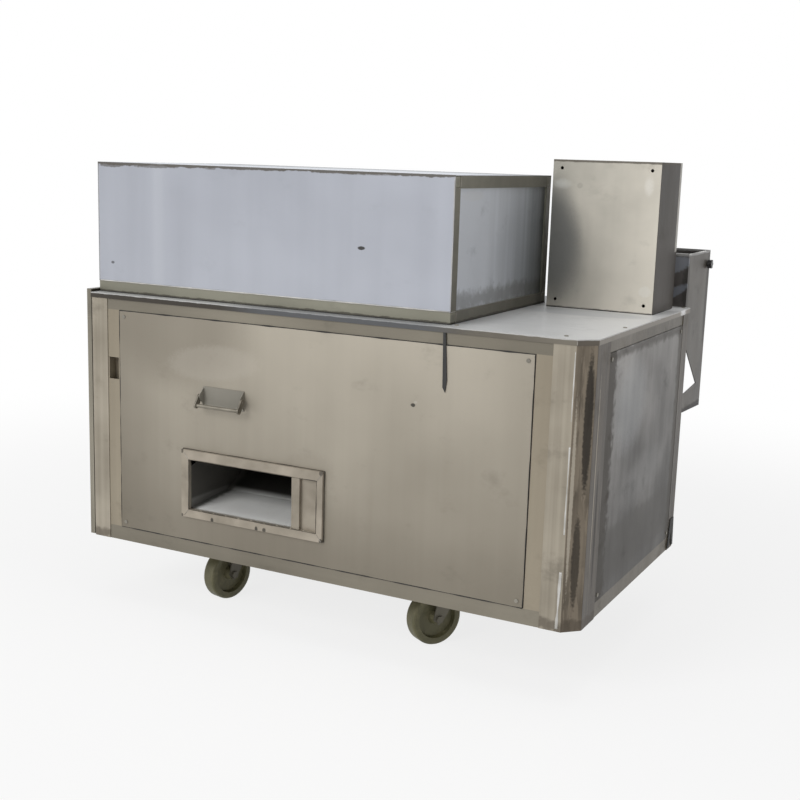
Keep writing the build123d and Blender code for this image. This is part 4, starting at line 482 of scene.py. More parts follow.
@dataclass(frozen=True)
class Enamel(Finish):
    """Sprayed paint with orange peel, dust on it and rubbed patches."""

    name: str
    colour: Colour
    rubbed: Colour = (0.34, 0.34, 0.33)
    roughness: float = 0.36

    def paint(self, tree: Tree) -> None:
        """Paint whose rubbed spots come from high fine noise, over orange peel."""
        spot = tree.noise((70.0, 70.0, 70.0), 6.0, 0.7).step(0.66, 0.72)
        shade = tree.noise((5.0, 5.0, 5.0), 3.0)
        colour = tree.blend(shade, scaled(self.colour, 0.75), self.colour)
        colour = tree.blend(spot * 0.7, colour, self.rubbed)
        peel = tree.noise((420.0, 420.0, 420.0), 1.0)
        tree.surface(
            Base_Color=colour,
            Metallic=spot * 0.6,
            Roughness=self.roughness + spot * 0.15,
            Normal=tree.bump(peel, 0.00010),
        )


# ---------------- surfaces
@dataclass
class Surface:
    """A surface worked out on a grid: points[i, j] is its place at the i-th u and the j-th v."""

    points: np.ndarray
    tubular: bool = False

    def faces(self) -> np.ndarray:
        """Four corners for each cell of the grid, closed in v when the surface is a tube."""
        rows, columns = self.points.shape[:2]
        across = columns if self.tubular else columns - 1
        i, j = np.meshgrid(np.arange(rows - 1), np.arange(across), indexing="ij")
        after = (j + 1) % columns
        corners = [i * columns + j, (i + 1) * columns + j, (i + 1) * columns + after, i * columns + after]
        return np.stack(corners, axis=-1).reshape(-1, 4)

    def mesh(self, name: str) -> bpy.types.Mesh:
        """The surface as a mesh, with its two ends filled when it is a tube."""
        rows, columns = self.points.shape[:2]
        faces = self.faces().tolist()
        if self.tubular:
            faces.append(list(range(columns)))
            faces.append(list(range((rows - 1) * columns, rows * columns))[::-1])
        made = bpy.data.meshes.new(name)
        made.from_pydata(self.points.reshape(-1, 3).tolist(), [], faces)
        made.validate()
        made.shade_smooth()
        return made


def tube(path: np.ndarray, radius: np.ndarray, sides: int = 10, squash: Triple = (1.0, 1.0, 1.0)) -> Surface:
    """A round tube along a path whose radius changes from point to point.

    At each path point two directions stand square to the path; the ring's points are the centre plus the
    radius times the cosine of the angle along the first and its sine along the second.

    Args:
        path: the centre line, one row for each point.
        radius: the tube's radius at each of those points.
        sides: how many points go round.
        squash: how much each axis is flattened around the centre line.

    Returns:
        The tube, with its ends filled.
    """
    ahead = np.gradient(path, axis=0)
    ahead /= np.linalg.norm(ahead, axis=1, keepdims=True)
    lead = np.where(np.abs(ahead[:, 2:3]) > 0.9, np.array([[1.0, 0.0, 0.0]]), np.array([[0.0, 0.0, 1.0]]))
    first = np.cross(ahead, lead)
    first /= np.linalg.norm(first, axis=1, keepdims=True)
    second = np.cross(first, ahead)
    angle = np.linspace(0.0, 2.0 * np.pi, sides, endpoint=False)
    ring = first[:, None, :] * np.cos(angle)[None, :, None] + second[:, None, :] * np.sin(angle)[None, :, None]
    points = path[:, None, :] + ring * radius[:, None, None] * np.array(squash)
    return Surface(points, tubular=True)


def ripple(samples: np.ndarray, seed: int, layers: int = 4) -> np.ndarray:
    """A smooth wandering value: sines of growing pitch and shrinking size, with phases drawn from a seed."""
    phases = np.random.default_rng(seed).uniform(0.0, 2.0 * np.pi, layers)
    order = np.arange(1, layers + 1)
    waves = np.sin(samples[..., None] * order * 2.0 * np.pi + phases)
    return (waves / order).sum(axis=-1)


def run_of(start_mm: Triple, end_mm: Triple, step_mm: float) -> tuple[np.ndarray, np.ndarray, float]:
    """A straight run between two places on the cabinet.

    Args:
        start_mm: where it begins.
        end_mm: where it ends.
        step_mm: how far apart its points are, at most.

    Returns:
        The points, their share of the way from 0 to 1, and the run's length in metres.
    """
    first, last = np.array(at(*start_mm)), np.array(at(*end_mm))
    length = float(np.linalg.norm(last - first))
    share = np.linspace(0.0, 1.0, max(8, int(length * PER_METRE / step_mm) + 1))
    return first + (last - first) * share[:, None], share, length


def weld(start_mm: Triple, end_mm: Triple, radius_mm: float, seed: int) -> bpy.types.Mesh:
    """A run of weld: a tube whose radius swells once for each scale and wanders a little.

    The radius is the nominal one times 0.84, plus 0.16 times a sine that turns once per scale, plus a small
    wandering part; it shrinks to a third over the last tenth at both ends.
    """
    path, share, length = run_of(start_mm, end_mm, 0.8)
    scales = share * length * PER_METRE / WELD_SCALE_MM
    swell = 0.84 + 0.16 * np.sin(2.0 * np.pi * scales) + 0.05 * ripple(share, seed)
    taper = np.clip(np.minimum(share, 1.0 - share) * 10.0, 0.33, 1.0)
    return tube(path, radius_mm / PER_METRE * swell * taper, sides=8).mesh("weld")


def bead(
    start_mm: Triple, end_mm: Triple, radius_mm: float, seed: int, squash: Triple = (1.0, 1.0, 1.0)
) -> bpy.types.Mesh:
    """A painted shade line in a joint, a film's edge or an edge line: a tube whose radius wanders over four
    sines.
    """
    path, share, length = run_of(start_mm, end_mm, 6.0)
    wander = 1.0 + 0.28 * ripple(share * max(1.0, length * 6.0), seed)
    return tube(path, radius_mm / PER_METRE * np.clip(wander, 0.25, 1.7), sides=8, squash=squash).mesh("bead")


def plug(face_mm: Triple, half_mm: float, side: float) -> bpy.types.Mesh:
    """A crowned square plug in a tube's open end.

    Over u and v from -1 to 1 the plug stands out by the crown times (1 - u^4)(1 - v^4); the outermost ring
    of the grid drops into the tube. Its doubled corners are merged and its back is closed.

    Args:
        face_mm: the middle of the tube's end.
        half_mm: half the plug's width.
        side: 1 for an end that looks right, -1 for one that looks left.

    Returns:
        The plug's mesh.
    """
    line = np.concatenate([[-1.0], np.linspace(-1.0, 1.0, 9), [1.0]])
    u, v = np.meshgrid(line * side, line, indexing="ij")
    rise = PLUG_CROWN_MM / PER_METRE * (1.0 - u**4) * (1.0 - v**4)
    rim = np.zeros_like(rise)
    rim[[0, -1], :] = rim[:, [0, -1]] = PLUG_DROP_MM / PER_METRE
    middle = at(*face_mm)
    x = middle.x + side * (rise - rim)
    points = np.stack([x, middle.y + u * half_mm / PER_METRE, middle.z + v * half_mm / PER_METRE], axis=-1)
    mesh = Surface(points).mesh("plug")
    work = bmesh.new()
    work.from_mesh(mesh)
    bmesh.ops.remove_doubles(work, verts=work.verts[:], dist=1e-6)
    bmesh.ops.holes_fill(work, edges=work.edges[:])
    bmesh.ops.recalc_face_normals(work, faces=work.faces[:])
    work.to_mesh(mesh)
    work.free()
    return mesh


class Workshop:
    """Makes pieces, dresses them and keeps count."""

    def __init__(self) -> None:
        """Starts with nothing made."""
        self.made: list[str] = []

    def piece(self, name: str, meshes: Iterable[bpy.types.Mesh], finish: Finish, body: str) -> None:
        """Joins meshes into one piece that rides on a body.

        Args:
            name: the piece's name.
            meshes: the meshes that it is made of, each in its place.
            finish: how it looks.
            body: the body that it moves with.
        """
        points: list[np.ndarray] = []
        faces: list[list[int]] = []
        start = 0
        for mesh in meshes:
            place = np.empty(len(mesh.vertices) * 3)
            mesh.vertices.foreach_get("co", place)
            points.append(place.reshape(-1, 3))
            faces.extend([start + index for index in polygon.vertices] for polygon in mesh.polygons)
            start += len(mesh.vertices)
        whole = bpy.data.meshes.new(name)
        whole.from_pydata(np.concatenate(points).tolist(), [], faces)
        whole.shade_smooth()
        whole.materials.append(finish.material())
        made = bpy.data.objects.new(name, whole)
        bpy.context.collection.objects.link(made)
        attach(made, body)
        self.made.append(name)
        LOG.info("%s: %d faces on %s", name, len(faces), body)

    def dress(self, finishes: Mapping[str, Finish]) -> None:
        """Gives nodes of the frame their finishes."""
        for node, finish in finishes.items():
            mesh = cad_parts[node].data
            mesh.materials.clear()
            mesh.materials.append(finish.material())
            LOG.info("%s: finished as %s", node, finish.name)


# ---------------- finishes
RIGHT = (1.0, 0.0, 0.0)
FRONT = (0.0, -1.0, 0.0)
UP = (0.0, 0.0, 1.0)
CORNER = (math.sqrt(0.5), -math.sqrt(0.5), 0.0)
PANEL = SteelSheet(
    "panel_steel", light=(0.49, 0.447, 0.372), dark=(0.20, 0.176, 0.137), level=0.52, drift=(0.10, 0.0, 0.85),
    cloud=0.22, cloud_per_metre=3.0, streak=0.12,
    marks=(
        Band(0, -200, 170, (0.19, 0.168, 0.132), 0.72, 330),
        Band(0, 1240, 1400, (0.21, 0.185, 0.145), 0.45, 260),
        Band(2, 190, 330, (0.20, 0.178, 0.14), 0.35, 190),
        Mark((300, 3, 820), (260, 30, 190), 0, 0.62, 0.05, (0.19, 0.168, 0.132), 1.15),
        Mark((1009, 3, 690), (7, 30, 4), 35, 0.9),
        Mark((1016, 3, 698), (5, 30, 3), 20, 0.35, colour=(0.55, 0.53, 0.48)),
        Mark((700, 3, 470), (95, 30, 60), 20, 0.16, colour=(0.22, 0.19, 0.15)),
        Mark((410, 3, 730), (150, 30, 50), 5, 0.22, colour=(0.52, 0.48, 0.42)),
    ),
)
COVER = SteelSheet(
    "cover_steel", light=(0.40, 0.37, 0.30), dark=(0.09, 0.08, 0.06), level=0.45, cloud=0.35, streak=0.6,
    facets=(Facet(UP, 897.8, (0.30, 0.29, 0.26), (0.12, 0.11, 0.09)),),
)
BACK = SteelSheet(
    "back_steel", light=(0.44, 0.41, 0.35), dark=(0.20, 0.185, 0.15), level=0.6, cloud=0.3, streak=0.15
)
# Painted shade: the right panel is the front panel's steel, painted much darker on the side turned from the
# light.
SIDE = SteelSheet(
    "shaded_side_steel", light=(0.35, 0.335, 0.32), dark=(0.024, 0.020, 0.015), level=0.36, drift=(0.0, -0.25, 0.75),
    drift_from_mm=(1460, 400, 560), cloud=0.62, cloud_per_metre=4.2, streak=0.22, streak_per_metre=34.0,
    dirt=0.6,
    marks=(
        Band(1, 100, 186, (0.035, 0.027, 0.018), 0.9, 30, 46),
        Band(1, 742, 790, (0.055, 0.046, 0.034), 0.75, 20, 20),
        # Painted reflection of something dark, across the panel from z 262 to 396.
        Band(2, 262, 396, (0.085, 0.080, 0.072), 0.6, 22, 10),
        Band(2, 826, 850, (0.05, 0.042, 0.032), 0.7, 18, 14),
        Mark((1458, 330, 690), (20, 150, 130), 20, 0.40, 0.3, (0.48, 0.49, 0.50), 1.15),
        Mark((1458, 470, 480), (20, 210, 70), 8, 0.35, 0.3, (0.34, 0.335, 0.33), 1.15),
    ),
)
# Painted shade: the right faces get darker tones, with rags of film left on them.
RAILS = SteelSheet(
    "rail_steel", light=(0.33, 0.30, 0.24), dark=(0.11, 0.098, 0.075), grain=Grain.LEVEL, level=0.5,
    cloud=0.35, streak=0.25,
    facets=(Facet(RIGHT, 1455.2, (0.20, 0.175, 0.135), (0.03, 0.025, 0.018), torn=0.3),),
)
# Painted shade: the cut corner and the right faces get darker tones, with rags of film left on them.
POSTS = SteelSheet(
    "post_steel", light=(0.44, 0.395, 0.32), dark=(0.19, 0.165, 0.125), level=0.6, cloud=0.45,
    cloud_per_metre=6.0, streak=0.6, streak_per_metre=60.0, dirt=0.5,
    facets=(
        Facet(CORNER, 1001.5, (0.27, 0.225, 0.17), (0.022, 0.017, 0.012), torn=0.6),
        Facet(RIGHT, 1457.2, (0.12, 0.098, 0.074), (0.012, 0.009, 0.006), torn=0.5),
    ),
    marks=(
        Band(2, 190, 215, (0.07, 0.055, 0.04), 0.6, 14, 22),
        # Painted shade: dark upright streaks down the cut corner and the right face.
        Mark((1448, 30, 690), (30, 9, 170), 0, 0.85, 0.5, colour=(0.012, 0.010, 0.008)),
        Mark((1440, 22, 360), (30, 8, 120), 0, 0.75, 0.6, colour=(0.018, 0.014, 0.010)),
        Mark((1458, 96, 420), (6, 8, 160), 0, 0.7, colour=(0.015, 0.012, 0.010)),
        # Painted highlights: two light upright streaks, on the right face and the cut corner.
        Mark((1458, 74, 560), (6, 3, 250), 0, 0.8, 0.5, colour=(0.42, 0.37, 0.30)),
        Mark((1427, 8, 520), (30, 3.5, 230), 0, 0.75, 0.6, colour=(0.50, 0.45, 0.37)),
    ),
)
STILES = SteelSheet(
    "stile_steel", light=(0.39, 0.34, 0.26), dark=(0.17, 0.145, 0.105), level=0.58, cloud=0.25, streak=0.35
)
# Painted reflection on the deck's top, and painted shade on its lip, cut corner and right end.
DECK = SteelSheet(
    "deck_steel", light=(0.90, 0.91, 0.92), dark=(0.13, 0.14, 0.155), grain=Grain.LEVEL, level=0.66,
    drift=(1.5, 0.3, 0.0), drift_from_mm=(1300, 100, 890), cloud=0.40, cloud_per_metre=5.0, streak=0.25,
    coat=0.15, dirt=0.45,
    facets=(
        Facet(FRONT, -0.3, (0.20, 0.18, 0.145), (0.045, 0.038, 0.03)),
        Facet(CORNER, 1004.2, (0.13, 0.112, 0.09), (0.03, 0.025, 0.019)),
        Facet(RIGHT, 1459.7, (0.20, 0.175, 0.14), (0.04, 0.034, 0.026)),
    ),
    marks=(
        # Painted reflection: the top face and the lip's top edge are painted light grey.
        Band(2, 887.6, 892, (0.60, 0.60, 0.59), 0.75, 0.8, 2),
        # Painted reflections: a white patch at the back right and a bluish one in front of the box.
        Mark((1436, 757, 890), (34, 44, 30), 0, 0.9, colour=(0.90, 0.90, 0.90)),
        Mark((1250, 500, 890), (190, 70, 40), 0, 0.35, colour=(0.36, 0.38, 0.41)),
        Band(0, 500, 1090, (0.13, 0.14, 0.155), 0.55, 160),
    ),
)
HOOD = SteelSheet(
    "hood_film", light=(0.48, 0.50, 0.555), dark=(0.355, 0.37, 0.415), level=0.50, drift=(0.05, 0.0, -0.9),
    drift_from_mm=(540, 35, 1070), cloud=0.22, streak=0.42, streak_per_metre=14.0, roughness=0.36,
    coat=0.10, dirt=0.12,
    marks=(
        Band(2, 1238.5, 1250, (0.085, 0.075, 0.06), 0.9, 2.5, 7),
        # Painted shade: a darker line along the sheet's lower edge, over the rail.
        Band(2, 910, 923, (0.22, 0.22, 0.205), 0.5, 3, 3),
        Band(0, 190, 226, (0.56, 0.58, 0.62), 0.22, 26),
        Band(0, 0, 5, (0.16, 0.15, 0.13), 0.6, 2, 3),
        Mark((48, 35, 1237), (44, 30, 6), 0, 0.75, 0.8, (0.10, 0.09, 0.075)),
        Mark((195, 35, 1238), (78, 30, 5), 0, 0.70, 0.9, (0.10, 0.09, 0.075)),
        Mark((378, 35, 1239), (24, 30, 4.5), 0, 0.60, 0.8, (0.10, 0.09, 0.075)),
        Mark((840, 35, 1240), (120, 30, 4), 0, 0.45, 0.9, (0.12, 0.11, 0.095)),
        Mark((51, 35, 973), (6, 30, 4), 0, 0.7),
        Mark((836, 35, 1059), (11, 30, 4.5), -20, 0.95),
    ),
)
FLAP = SteelSheet(
    "flap_film", light=(0.48, 0.50, 0.55), dark=(0.32, 0.335, 0.37), level=0.55, cloud=0.25, streak=0.3,
    streak_per_metre=14.0, roughness=0.36, coat=0.10, seed=5.0,
)
SIDE_FILM = SteelSheet(
    "side_film", light=(0.62, 0.65, 0.71), dark=(0.17, 0.182, 0.187), level=1.0, drift=(0.0, -2.0, 0.35),
    drift_from_mm=(1085, 200, 1060), cloud=0.25, streak=0.5, dirt=0.3,
    marks=(
        Band(2, 919, 960, (0.11, 0.105, 0.09), 0.55, 30, 26),
        Mark((1080, 150, 1195), (30, 70, 14), 0, 0.4, 0.8, (0.62, 0.63, 0.64)),
    ),
    seed=9.0,
)
# Painted shade: the tubes' right faces get darker tones, and their foot on the deck a dark band.
HOOD_RAILS = SteelSheet(
    "hood_rail_steel", light=(0.40, 0.39, 0.31), dark=(0.15, 0.145, 0.115), grain=Grain.LEVEL, level=0.5,
    cloud=0.35, streak=0.25,
    facets=(Facet(RIGHT, 1084.7, (0.26, 0.25, 0.205), (0.07, 0.065, 0.052)),),
    marks=(Band(2, 889, 896, (0.05, 0.045, 0.035), 0.8, 3, 4),),
    seed=2.0,
)
# Painted shadow of the hood: the front darkens to the left, with dark ovals over its left third.
BOX = SteelSheet(
    "enclosure_sheet", light=(0.64, 0.60, 0.52), dark=(0.28, 0.27, 0.235), level=0.62, drift=(1.9, 0.0, -0.7),
    drift_from_mm=(1270, 580, 1090), cloud=0.30, cloud_per_metre=8.0, streak=0.14, roughness=0.46,
    # Painted shade: near-black tones on the right side, which turns from the light.
    facets=(Facet(RIGHT, 1421.7, (0.034, 0.026, 0.018), (0.010, 0.008, 0.006)),),
    marks=(
        Mark((1132, 580, 1075), (84, 60, 175), 3, 0.84, 0.07, (0.15, 0.152, 0.146), 1.1),
        Mark((1168, 580, 1010), (70, 60, 130), 0, 0.42, 0.07, (0.19, 0.19, 0.18), 1.1),
        Mark((1150, 580, 1226), (30, 60, 16), 12, 0.34, 0.4, (0.66, 0.66, 0.64), 1.6),
        Mark((1391, 580, 1226), (15, 60, 30), 0, 0.50, 0.4, (0.78, 0.76, 0.71), 1.6),
        Mark((1398, 580, 950), (18, 30, 15), 0, 0.50, 0.5, (0.70, 0.68, 0.62)),
        Mark((1200, 580, 1222), (9, 30, 8), 0, 0.35, 0.5, (0.26, 0.25, 0.22)),
        Band(2, 1284, 1292, (0.10, 0.088, 0.07), 0.85, 2, 3),
        # Painted shade: a dark band along the foot, where the box stands on the deck.
        Band(2, 889, 894, (0.12, 0.115, 0.10), 0.6, 3, 3),
    ),
)
BOX_DOOR = SteelSheet(
    "box_door_steel", light=(0.50, 0.48, 0.43), dark=(0.26, 0.25, 0.22), level=0.6, cloud=0.25, streak=0.1
)
# Painted shade: the hopper's steel is painted near black for the shade behind the box, its right faces darker
# still.
HOPPER = SteelSheet(
    "hopper_steel", light=(0.135, 0.125, 0.12), dark=(0.024, 0.021, 0.018), level=0.6, cloud=0.5,
    cloud_per_metre=7.0, streak=0.4, dirt=0.5,
    facets=(Facet(RIGHT, 1445.7, (0.11, 0.098, 0.080), (0.022, 0.018, 0.014), torn=0.35),),
    marks=(
        Band(2, 1034, 1041, (0.46, 0.46, 0.45), 0.7, 3, 3),
        Band(2, 569, 588, (0.015, 0.013, 0.011), 0.85, 8, 8),
        Mark((1445, 1058, 900), (20, 16, 150), 0, 0.6, 0.4),
        Mark((1445, 838, 950), (20, 12, 90), 0, 0.6, 0.4),
        Mark((1400, 831, 1005), (60, 20, 24), 20, 0.55, 0.5, (0.34, 0.37, 0.43)),
        Mark((1400, 831, 925), (60, 20, 14), 30, 0.5, 0.5, (0.30, 0.33, 0.39)),
    ),
)
CHUTE = SteelSheet(
    "chute_steel", light=(0.88, 0.88, 0.86), dark=(0.32, 0.32, 0.30), grain=Grain.DEEP, level=0.8, cloud=0.35,
    streak=0.3, metallic=0.5, roughness=0.26,
)
# Painted shade: the chute's inside is painted near black, as is the upper part of its walls.
MOUTH = SteelSheet(
    "mouth_steel", light=(0.045, 0.043, 0.038), dark=(0.010, 0.0095, 0.008), grain=Grain.DEEP, level=0.5,
    cloud=0.35, streak=0.3, metallic=0.0, roughness=0.42, dirt=0.1,
    facets=(
        # Painted reflection: the floor near the opening is painted near white.
        Facet(FRONT, -168.0, (0.96, 0.96, 0.94), (0.80, 0.80, 0.77), soft_mm=34.0),
        Facet(UP, 352.0, (0.04, 0.038, 0.034), (0.010, 0.0095, 0.008), soft_mm=10.0),
    ),
    marks=(
        Band(0, 300, 352, (0.10, 0.095, 0.085), 0.85, 22, 10),
        Band(1, -5, 13, (0.20, 0.185, 0.15), 0.6, 4, 4),
    ),
)
TRIM = SteelSheet(
    "trim_steel", light=(0.47, 0.415, 0.34), dark=(0.15, 0.132, 0.10), level=0.62, cloud=0.45,
    cloud_per_metre=14.0, streak=0.15,
    marks=tuple(
        Mark((x, -7, z), (across, 12, high), tilt, strength)
        for x, z, across, high, tilt, strength in (
            (418, 302, 5, 8, 0, 0.85),
            (561, 302, 5, 9, 10, 0.85),
            (586, 303, 6, 7, -10, 0.8),
            (318, 302, 4, 6, 0, 0.7),
            (760, 302, 5, 8, 0, 0.8),
            (758, 484, 6, 9, 0, 0.7),
            (318, 484, 5, 8, 0, 0.7),
        )
    ),
    seed=4.0,
)
ZINC = SteelSheet(
    "zinc_plate", light=(0.38, 0.36, 0.31), dark=(0.13, 0.12, 0.10), level=0.5, cloud=0.5, streak=0.1,
    roughness=0.5,
)
FORK = SteelSheet(
    "fork_zinc", light=(0.22, 0.205, 0.16), dark=(0.05, 0.046, 0.035), level=0.5, cloud=0.5, streak=0.2,
    dirt=0.5,
)
BAIL = SteelSheet(
    "bail_steel", light=(0.30, 0.275, 0.225), dark=(0.08, 0.07, 0.055), level=0.55, cloud=0.5,
    cloud_per_metre=18.0, streak=0.2, metallic=0.5, roughness=0.34,
)
GROUND = Machined("ground_steel")
CHAIN = Machined("oiled_chain", light=(0.20, 0.19, 0.17), dark=(0.06, 0.055, 0.05), roughness=0.42, oil=0.7)
WHEEL = Moulded(
    "wheel_olive", (0.125, 0.117, 0.058), dust=(0.30, 0.275, 0.17), dusty=0.6, roughness=0.5, texture=0.0003
)
MOULD = Moulded("mould_white", (0.72, 0.72, 0.68), dust=(0.40, 0.30, 0.20), dusty=0.2, roughness=0.42)
BLACK_RUBBER = Moulded(
    "frayed_rubber", (0.018, 0.018, 0.018), dust=(0.12, 0.115, 0.10), dusty=0.2, roughness=0.6
)
BLACK_KNOB = Moulded("black_phenolic", (0.020, 0.020, 0.021), dusty=0.08, roughness=0.32)
GREEN_CAP = Moulded("green_cap", (0.02, 0.30, 0.08), dusty=0.04, roughness=0.25, coat=0.4)
RED_CAP = Moulded("red_cap", (0.50, 0.015, 0.012), dusty=0.04, roughness=0.25, coat=0.4)
RED_STOP = Moulded("red_mushroom", (0.56, 0.018, 0.014), dusty=0.04, roughness=0.22, coat=0.5)
GEAR = Moulded("switchgear_grey", (0.22, 0.225, 0.235), dusty=0.12, roughness=0.5)
MOTOR = Enamel("motor_enamel", (0.10, 0.15, 0.22))
BRUSH = Bristle("nylon_bristle")
FILM_EDGE = SteelSheet(
    "film_edge", light=(0.72, 0.71, 0.68), dark=(0.30, 0.28, 0.24), level=0.6, cloud=0.6, cloud_per_metre=20.0,
    streak=0.4, metallic=0.0, roughness=0.3, coat=0.5,
)
WELD = Machined("weld_metal", light=(0.50, 0.48, 0.44), dark=(0.13, 0.11, 0.09), roughness=0.34, oil=0.5)
EDGE_LINES = Moulded("dark_edge_lines", (0.055, 0.046, 0.034), dust=(0.20, 0.18, 0.14), dusty=0.5, roughness=0.7)
# Painted shade: near-black lines laid in joints and along feet.
SHADOW_GAP = Moulded("painted_joint_shade", (0.012, 0.011, 0.010), dusty=0.05, roughness=0.7)
CASTOR_CORNERS = ("front_left", "front_right", "rear_left", "rear_right")


# ---------------- sub-assemblies
Finishes = ClassVar[Mapping[str, Finish]]


class Assembly:
    """A group of nodes that belong together, and the pieces that are made to go with them."""

    finishes: Finishes

    def build(self, workshop: Workshop) -> None:
        """Makes the group's own pieces, where it has any."""

    def complete(self, workshop: Workshop) -> None:
        """Dresses the group's nodes and makes its pieces."""
        workshop.dress(self.finishes)
        self.build(workshop)
        LOG.info("%s done", type(self).__name__)


@dataclass
class Cabinet(Assembly):
    """The welded frame, the panels and the deck."""

    panel_mm: tuple[float, float, float, float] = (98.3, 1320.0, 230.3, 846.0)
    panel_face_mm: float = 3.4
    lip_mm: tuple[float, float] = (876.5, 889.0)
    finishes: Finishes = {
        "base_rails": RAILS,
        "floor_pan": RAILS,
        "corner_post_front_right": POSTS,
        "corner_posts": POSTS,
        "front_stiles": STILES,
        "top_rails": RAILS,
        "deck_plate": DECK,
        "front_panel": PANEL,
        "right_panel": SIDE,
        "left_cover": COVER,
        "rear_panel": BACK,
        "panel_screws": ZINC,
        "rubber_strap": BLACK_RUBBER,
    }

    def build(self, workshop: Workshop) -> None:
        """Makes the deck-corner welds, the film left on the corner post and painted shade in the panel's
        joints.
        """
        lip, top = self.lip_mm
        corners = (
            weld((1420.5, 0.6, lip), (1420.5, 0.6, top), 1.3, 3),
            weld((1458.3, 39.5, lip), (1458.3, 39.5, top), 1.2, 4),
        )
        workshop.piece("deck_corner_welds", corners, WELD, "cabinet")
        shreds = [
            bead((1411.5, 2.45, 338), (1408, 2.45, 197), 3.2, 11, (1, 0.09, 1)),
            bead((1416, 2.45, 640), (1414.5, 2.45, 430), 1.6, 12, (1, 0.14, 1)),
            bead((1417, 2.45, 862), (1416, 2.45, 700), 1.3, 13, (1, 0.16, 1)),
        ]
        workshop.piece("post_film_edges", shreds, FILM_EDGE, "cabinet")
        # Painted shade: near-black beads in the four joints round the front panel.
        left, right, low, high = self.panel_mm
        face = self.panel_face_mm
        joints = [
            bead((left, face, low + 1), (left, face, high - 1), 1, 21),
            bead((right, face, low + 1), (right, face, high - 1), 1.1, 22),
            bead((left + 1, face, low), (right - 1, face, low), 1.3, 23),
            bead((left + 1, face, high), (right - 1, face, high), 1.3, 24),
        ]
        workshop.piece("panel_joint_shade", joints, SHADOW_GAP, "cabinet")


@dataclass
class Discharge(Assembly):
    """The discharge opening, its gate and chute, and the pull handle above it."""

    face_mm: float = -7.1
    corners_mm: tuple[tuple[float, float], ...] = ((340, 461), (340, 321), (745, 461), (745, 321))
    middle_mm: tuple[float, float] = (500.0, 400.0)
    finishes: Finishes = {
        "discharge_trim": TRIM,
        "discharge_gate": TRIM,
        "discharge_chute": MOUTH,
        "handle_plate": ZINC,
        "bail_handle": BAIL,
    }

    def build(self, workshop: Workshop) -> None:
        """Makes the welds at the four corners of the trim, on its front face."""
        face = self.face_mm
        runs = []
        for number, (x, z) in enumerate(self.corners_mm):
            out = math.copysign(1.0, x - self.middle_mm[0])
            up = math.copysign(1.0, z - self.middle_mm[1])
            runs.append(weld((x + out, face, z + up), (x + out * 16, face, z + up * 20), 0.9, 30 + number))
        workshop.piece("trim_corner_welds", runs, WELD, "cabinet")
        # Dark lines round the trim's outer edge and round the opening.
        rings = (((315.6, 763.4, 298.6, 487.4), 2.5, 1.5), ((339.9, 745.1, 320.9, 461.1), -6.8, 1.0))
        lines = []
        for (x0, x1, z0, z1), y, radius in rings:
            below, above = ((x0, y, z0), (x1, y, z0)), ((x0, y, z1), (x1, y, z1))
            for start, end in (below, above, *zip(below, above)):
                lines.append(bead(start, end, radius, 110 + len(lines)))
        workshop.piece("trim_edge_lines", lines, EDGE_LINES, "cabinet")


@dataclass
class Hood(Assembly):
    """The tubular hood on the deck with its film-covered sheets and rear flap."""

    left_mm: float = 2.0
    right_mm: float = 1085.0
    front_mm: float = 36.5
    back_mm: float = 663.5
    deck_mm: float = 890.0
    top_mm: float = 1243.5
    tube_mm: float = 30.0
    sheet_mm: float = 34.95
    finishes: Finishes = {
        "hood_frame": HOOD_RAILS,
        "hood_front_sheet": HOOD,
        "hood_sheets": SIDE_FILM,
        "hood_door": FLAP,
        "hinges": ZINC,
    }

    def caps(self) -> list[bpy.types.Mesh]:
        """A plug in each open end of the four long tubes."""
        half = self.tube_mm / 2
        ends = []
        for x, side in ((self.left_mm, -1.0), (self.right_mm, 1.0)):
            for y in (self.front_mm + half, self.back_mm - half):
                for z in (self.deck_mm + half, self.top_mm - half):
                    ends.append(plug((x - side * 0.9, y, z), half - 1.7, side))
        return ends

    def welds(self) -> list[bpy.types.Mesh]:
        """The welds on the right and left faces, where posts and cross tubes meet the long tubes."""
        size = self.tube_mm
        runs = []
        seed = 40
        for x in (self.left_mm, self.right_mm):
            for y0, y1 in ((self.front_mm, self.front_mm + size), (self.back_mm - size, self.back_mm)):
                inner = y1 if y0 == self.front_mm else y0
                for z in (self.deck_mm + size, self.top_mm - size):
                    runs.append(weld((x, y0 + 1.5, z), (x, y1 - 1.5, z), 0.9, seed))
                for z in (self.deck_mm, self.top_mm - size):
                    runs.append(weld((x, inner, z + 1.5), (x, inner, z + size - 1.5), 0.9, seed + 1))
                seed += 2
        return runs

    def build(self, workshop: Workshop) -> None:
        """Makes the plugs, the welds, painted shade round the foot and the film's cut lower edge."""
        workshop.piece("hood_tube_plugs", self.caps(), HOOD_RAILS, "cabinet")
        workshop.piece("hood_welds", self.welds(), WELD, "cabinet")
        # Painted shade: a near-black bead where the hood stands on the deck.
        foot = self.deck_mm + 0.6
        front, side = self.front_mm - 0.5, self.right_mm + 0.5
        shade_lines = [
            bead((self.left_mm + 2, front, foot), (self.right_mm - 1, front, foot), 1.5, 51),
            bead((side, self.front_mm + 1, foot), (side, self.back_mm - 2, foot), 1.5, 52),
        ]
        workshop.piece("hood_foot_shade", shade_lines, SHADOW_GAP, "cabinet")
        edge = self.deck_mm + self.tube_mm + 1.2
        sheet, end = self.sheet_mm, self.right_mm - 1.2
        film = [
            bead((self.left_mm + 3, sheet, edge), (self.right_mm - 3, sheet, edge), 1.3, 61, (1, 0.2, 1)),
            bead((end, sheet, edge), (end, sheet, self.top_mm - 4), 0.8, 62, (1, 0.25, 1)),
        ]
        workshop.piece("hood_film_edges", film, FILM_EDGE, "cabinet")


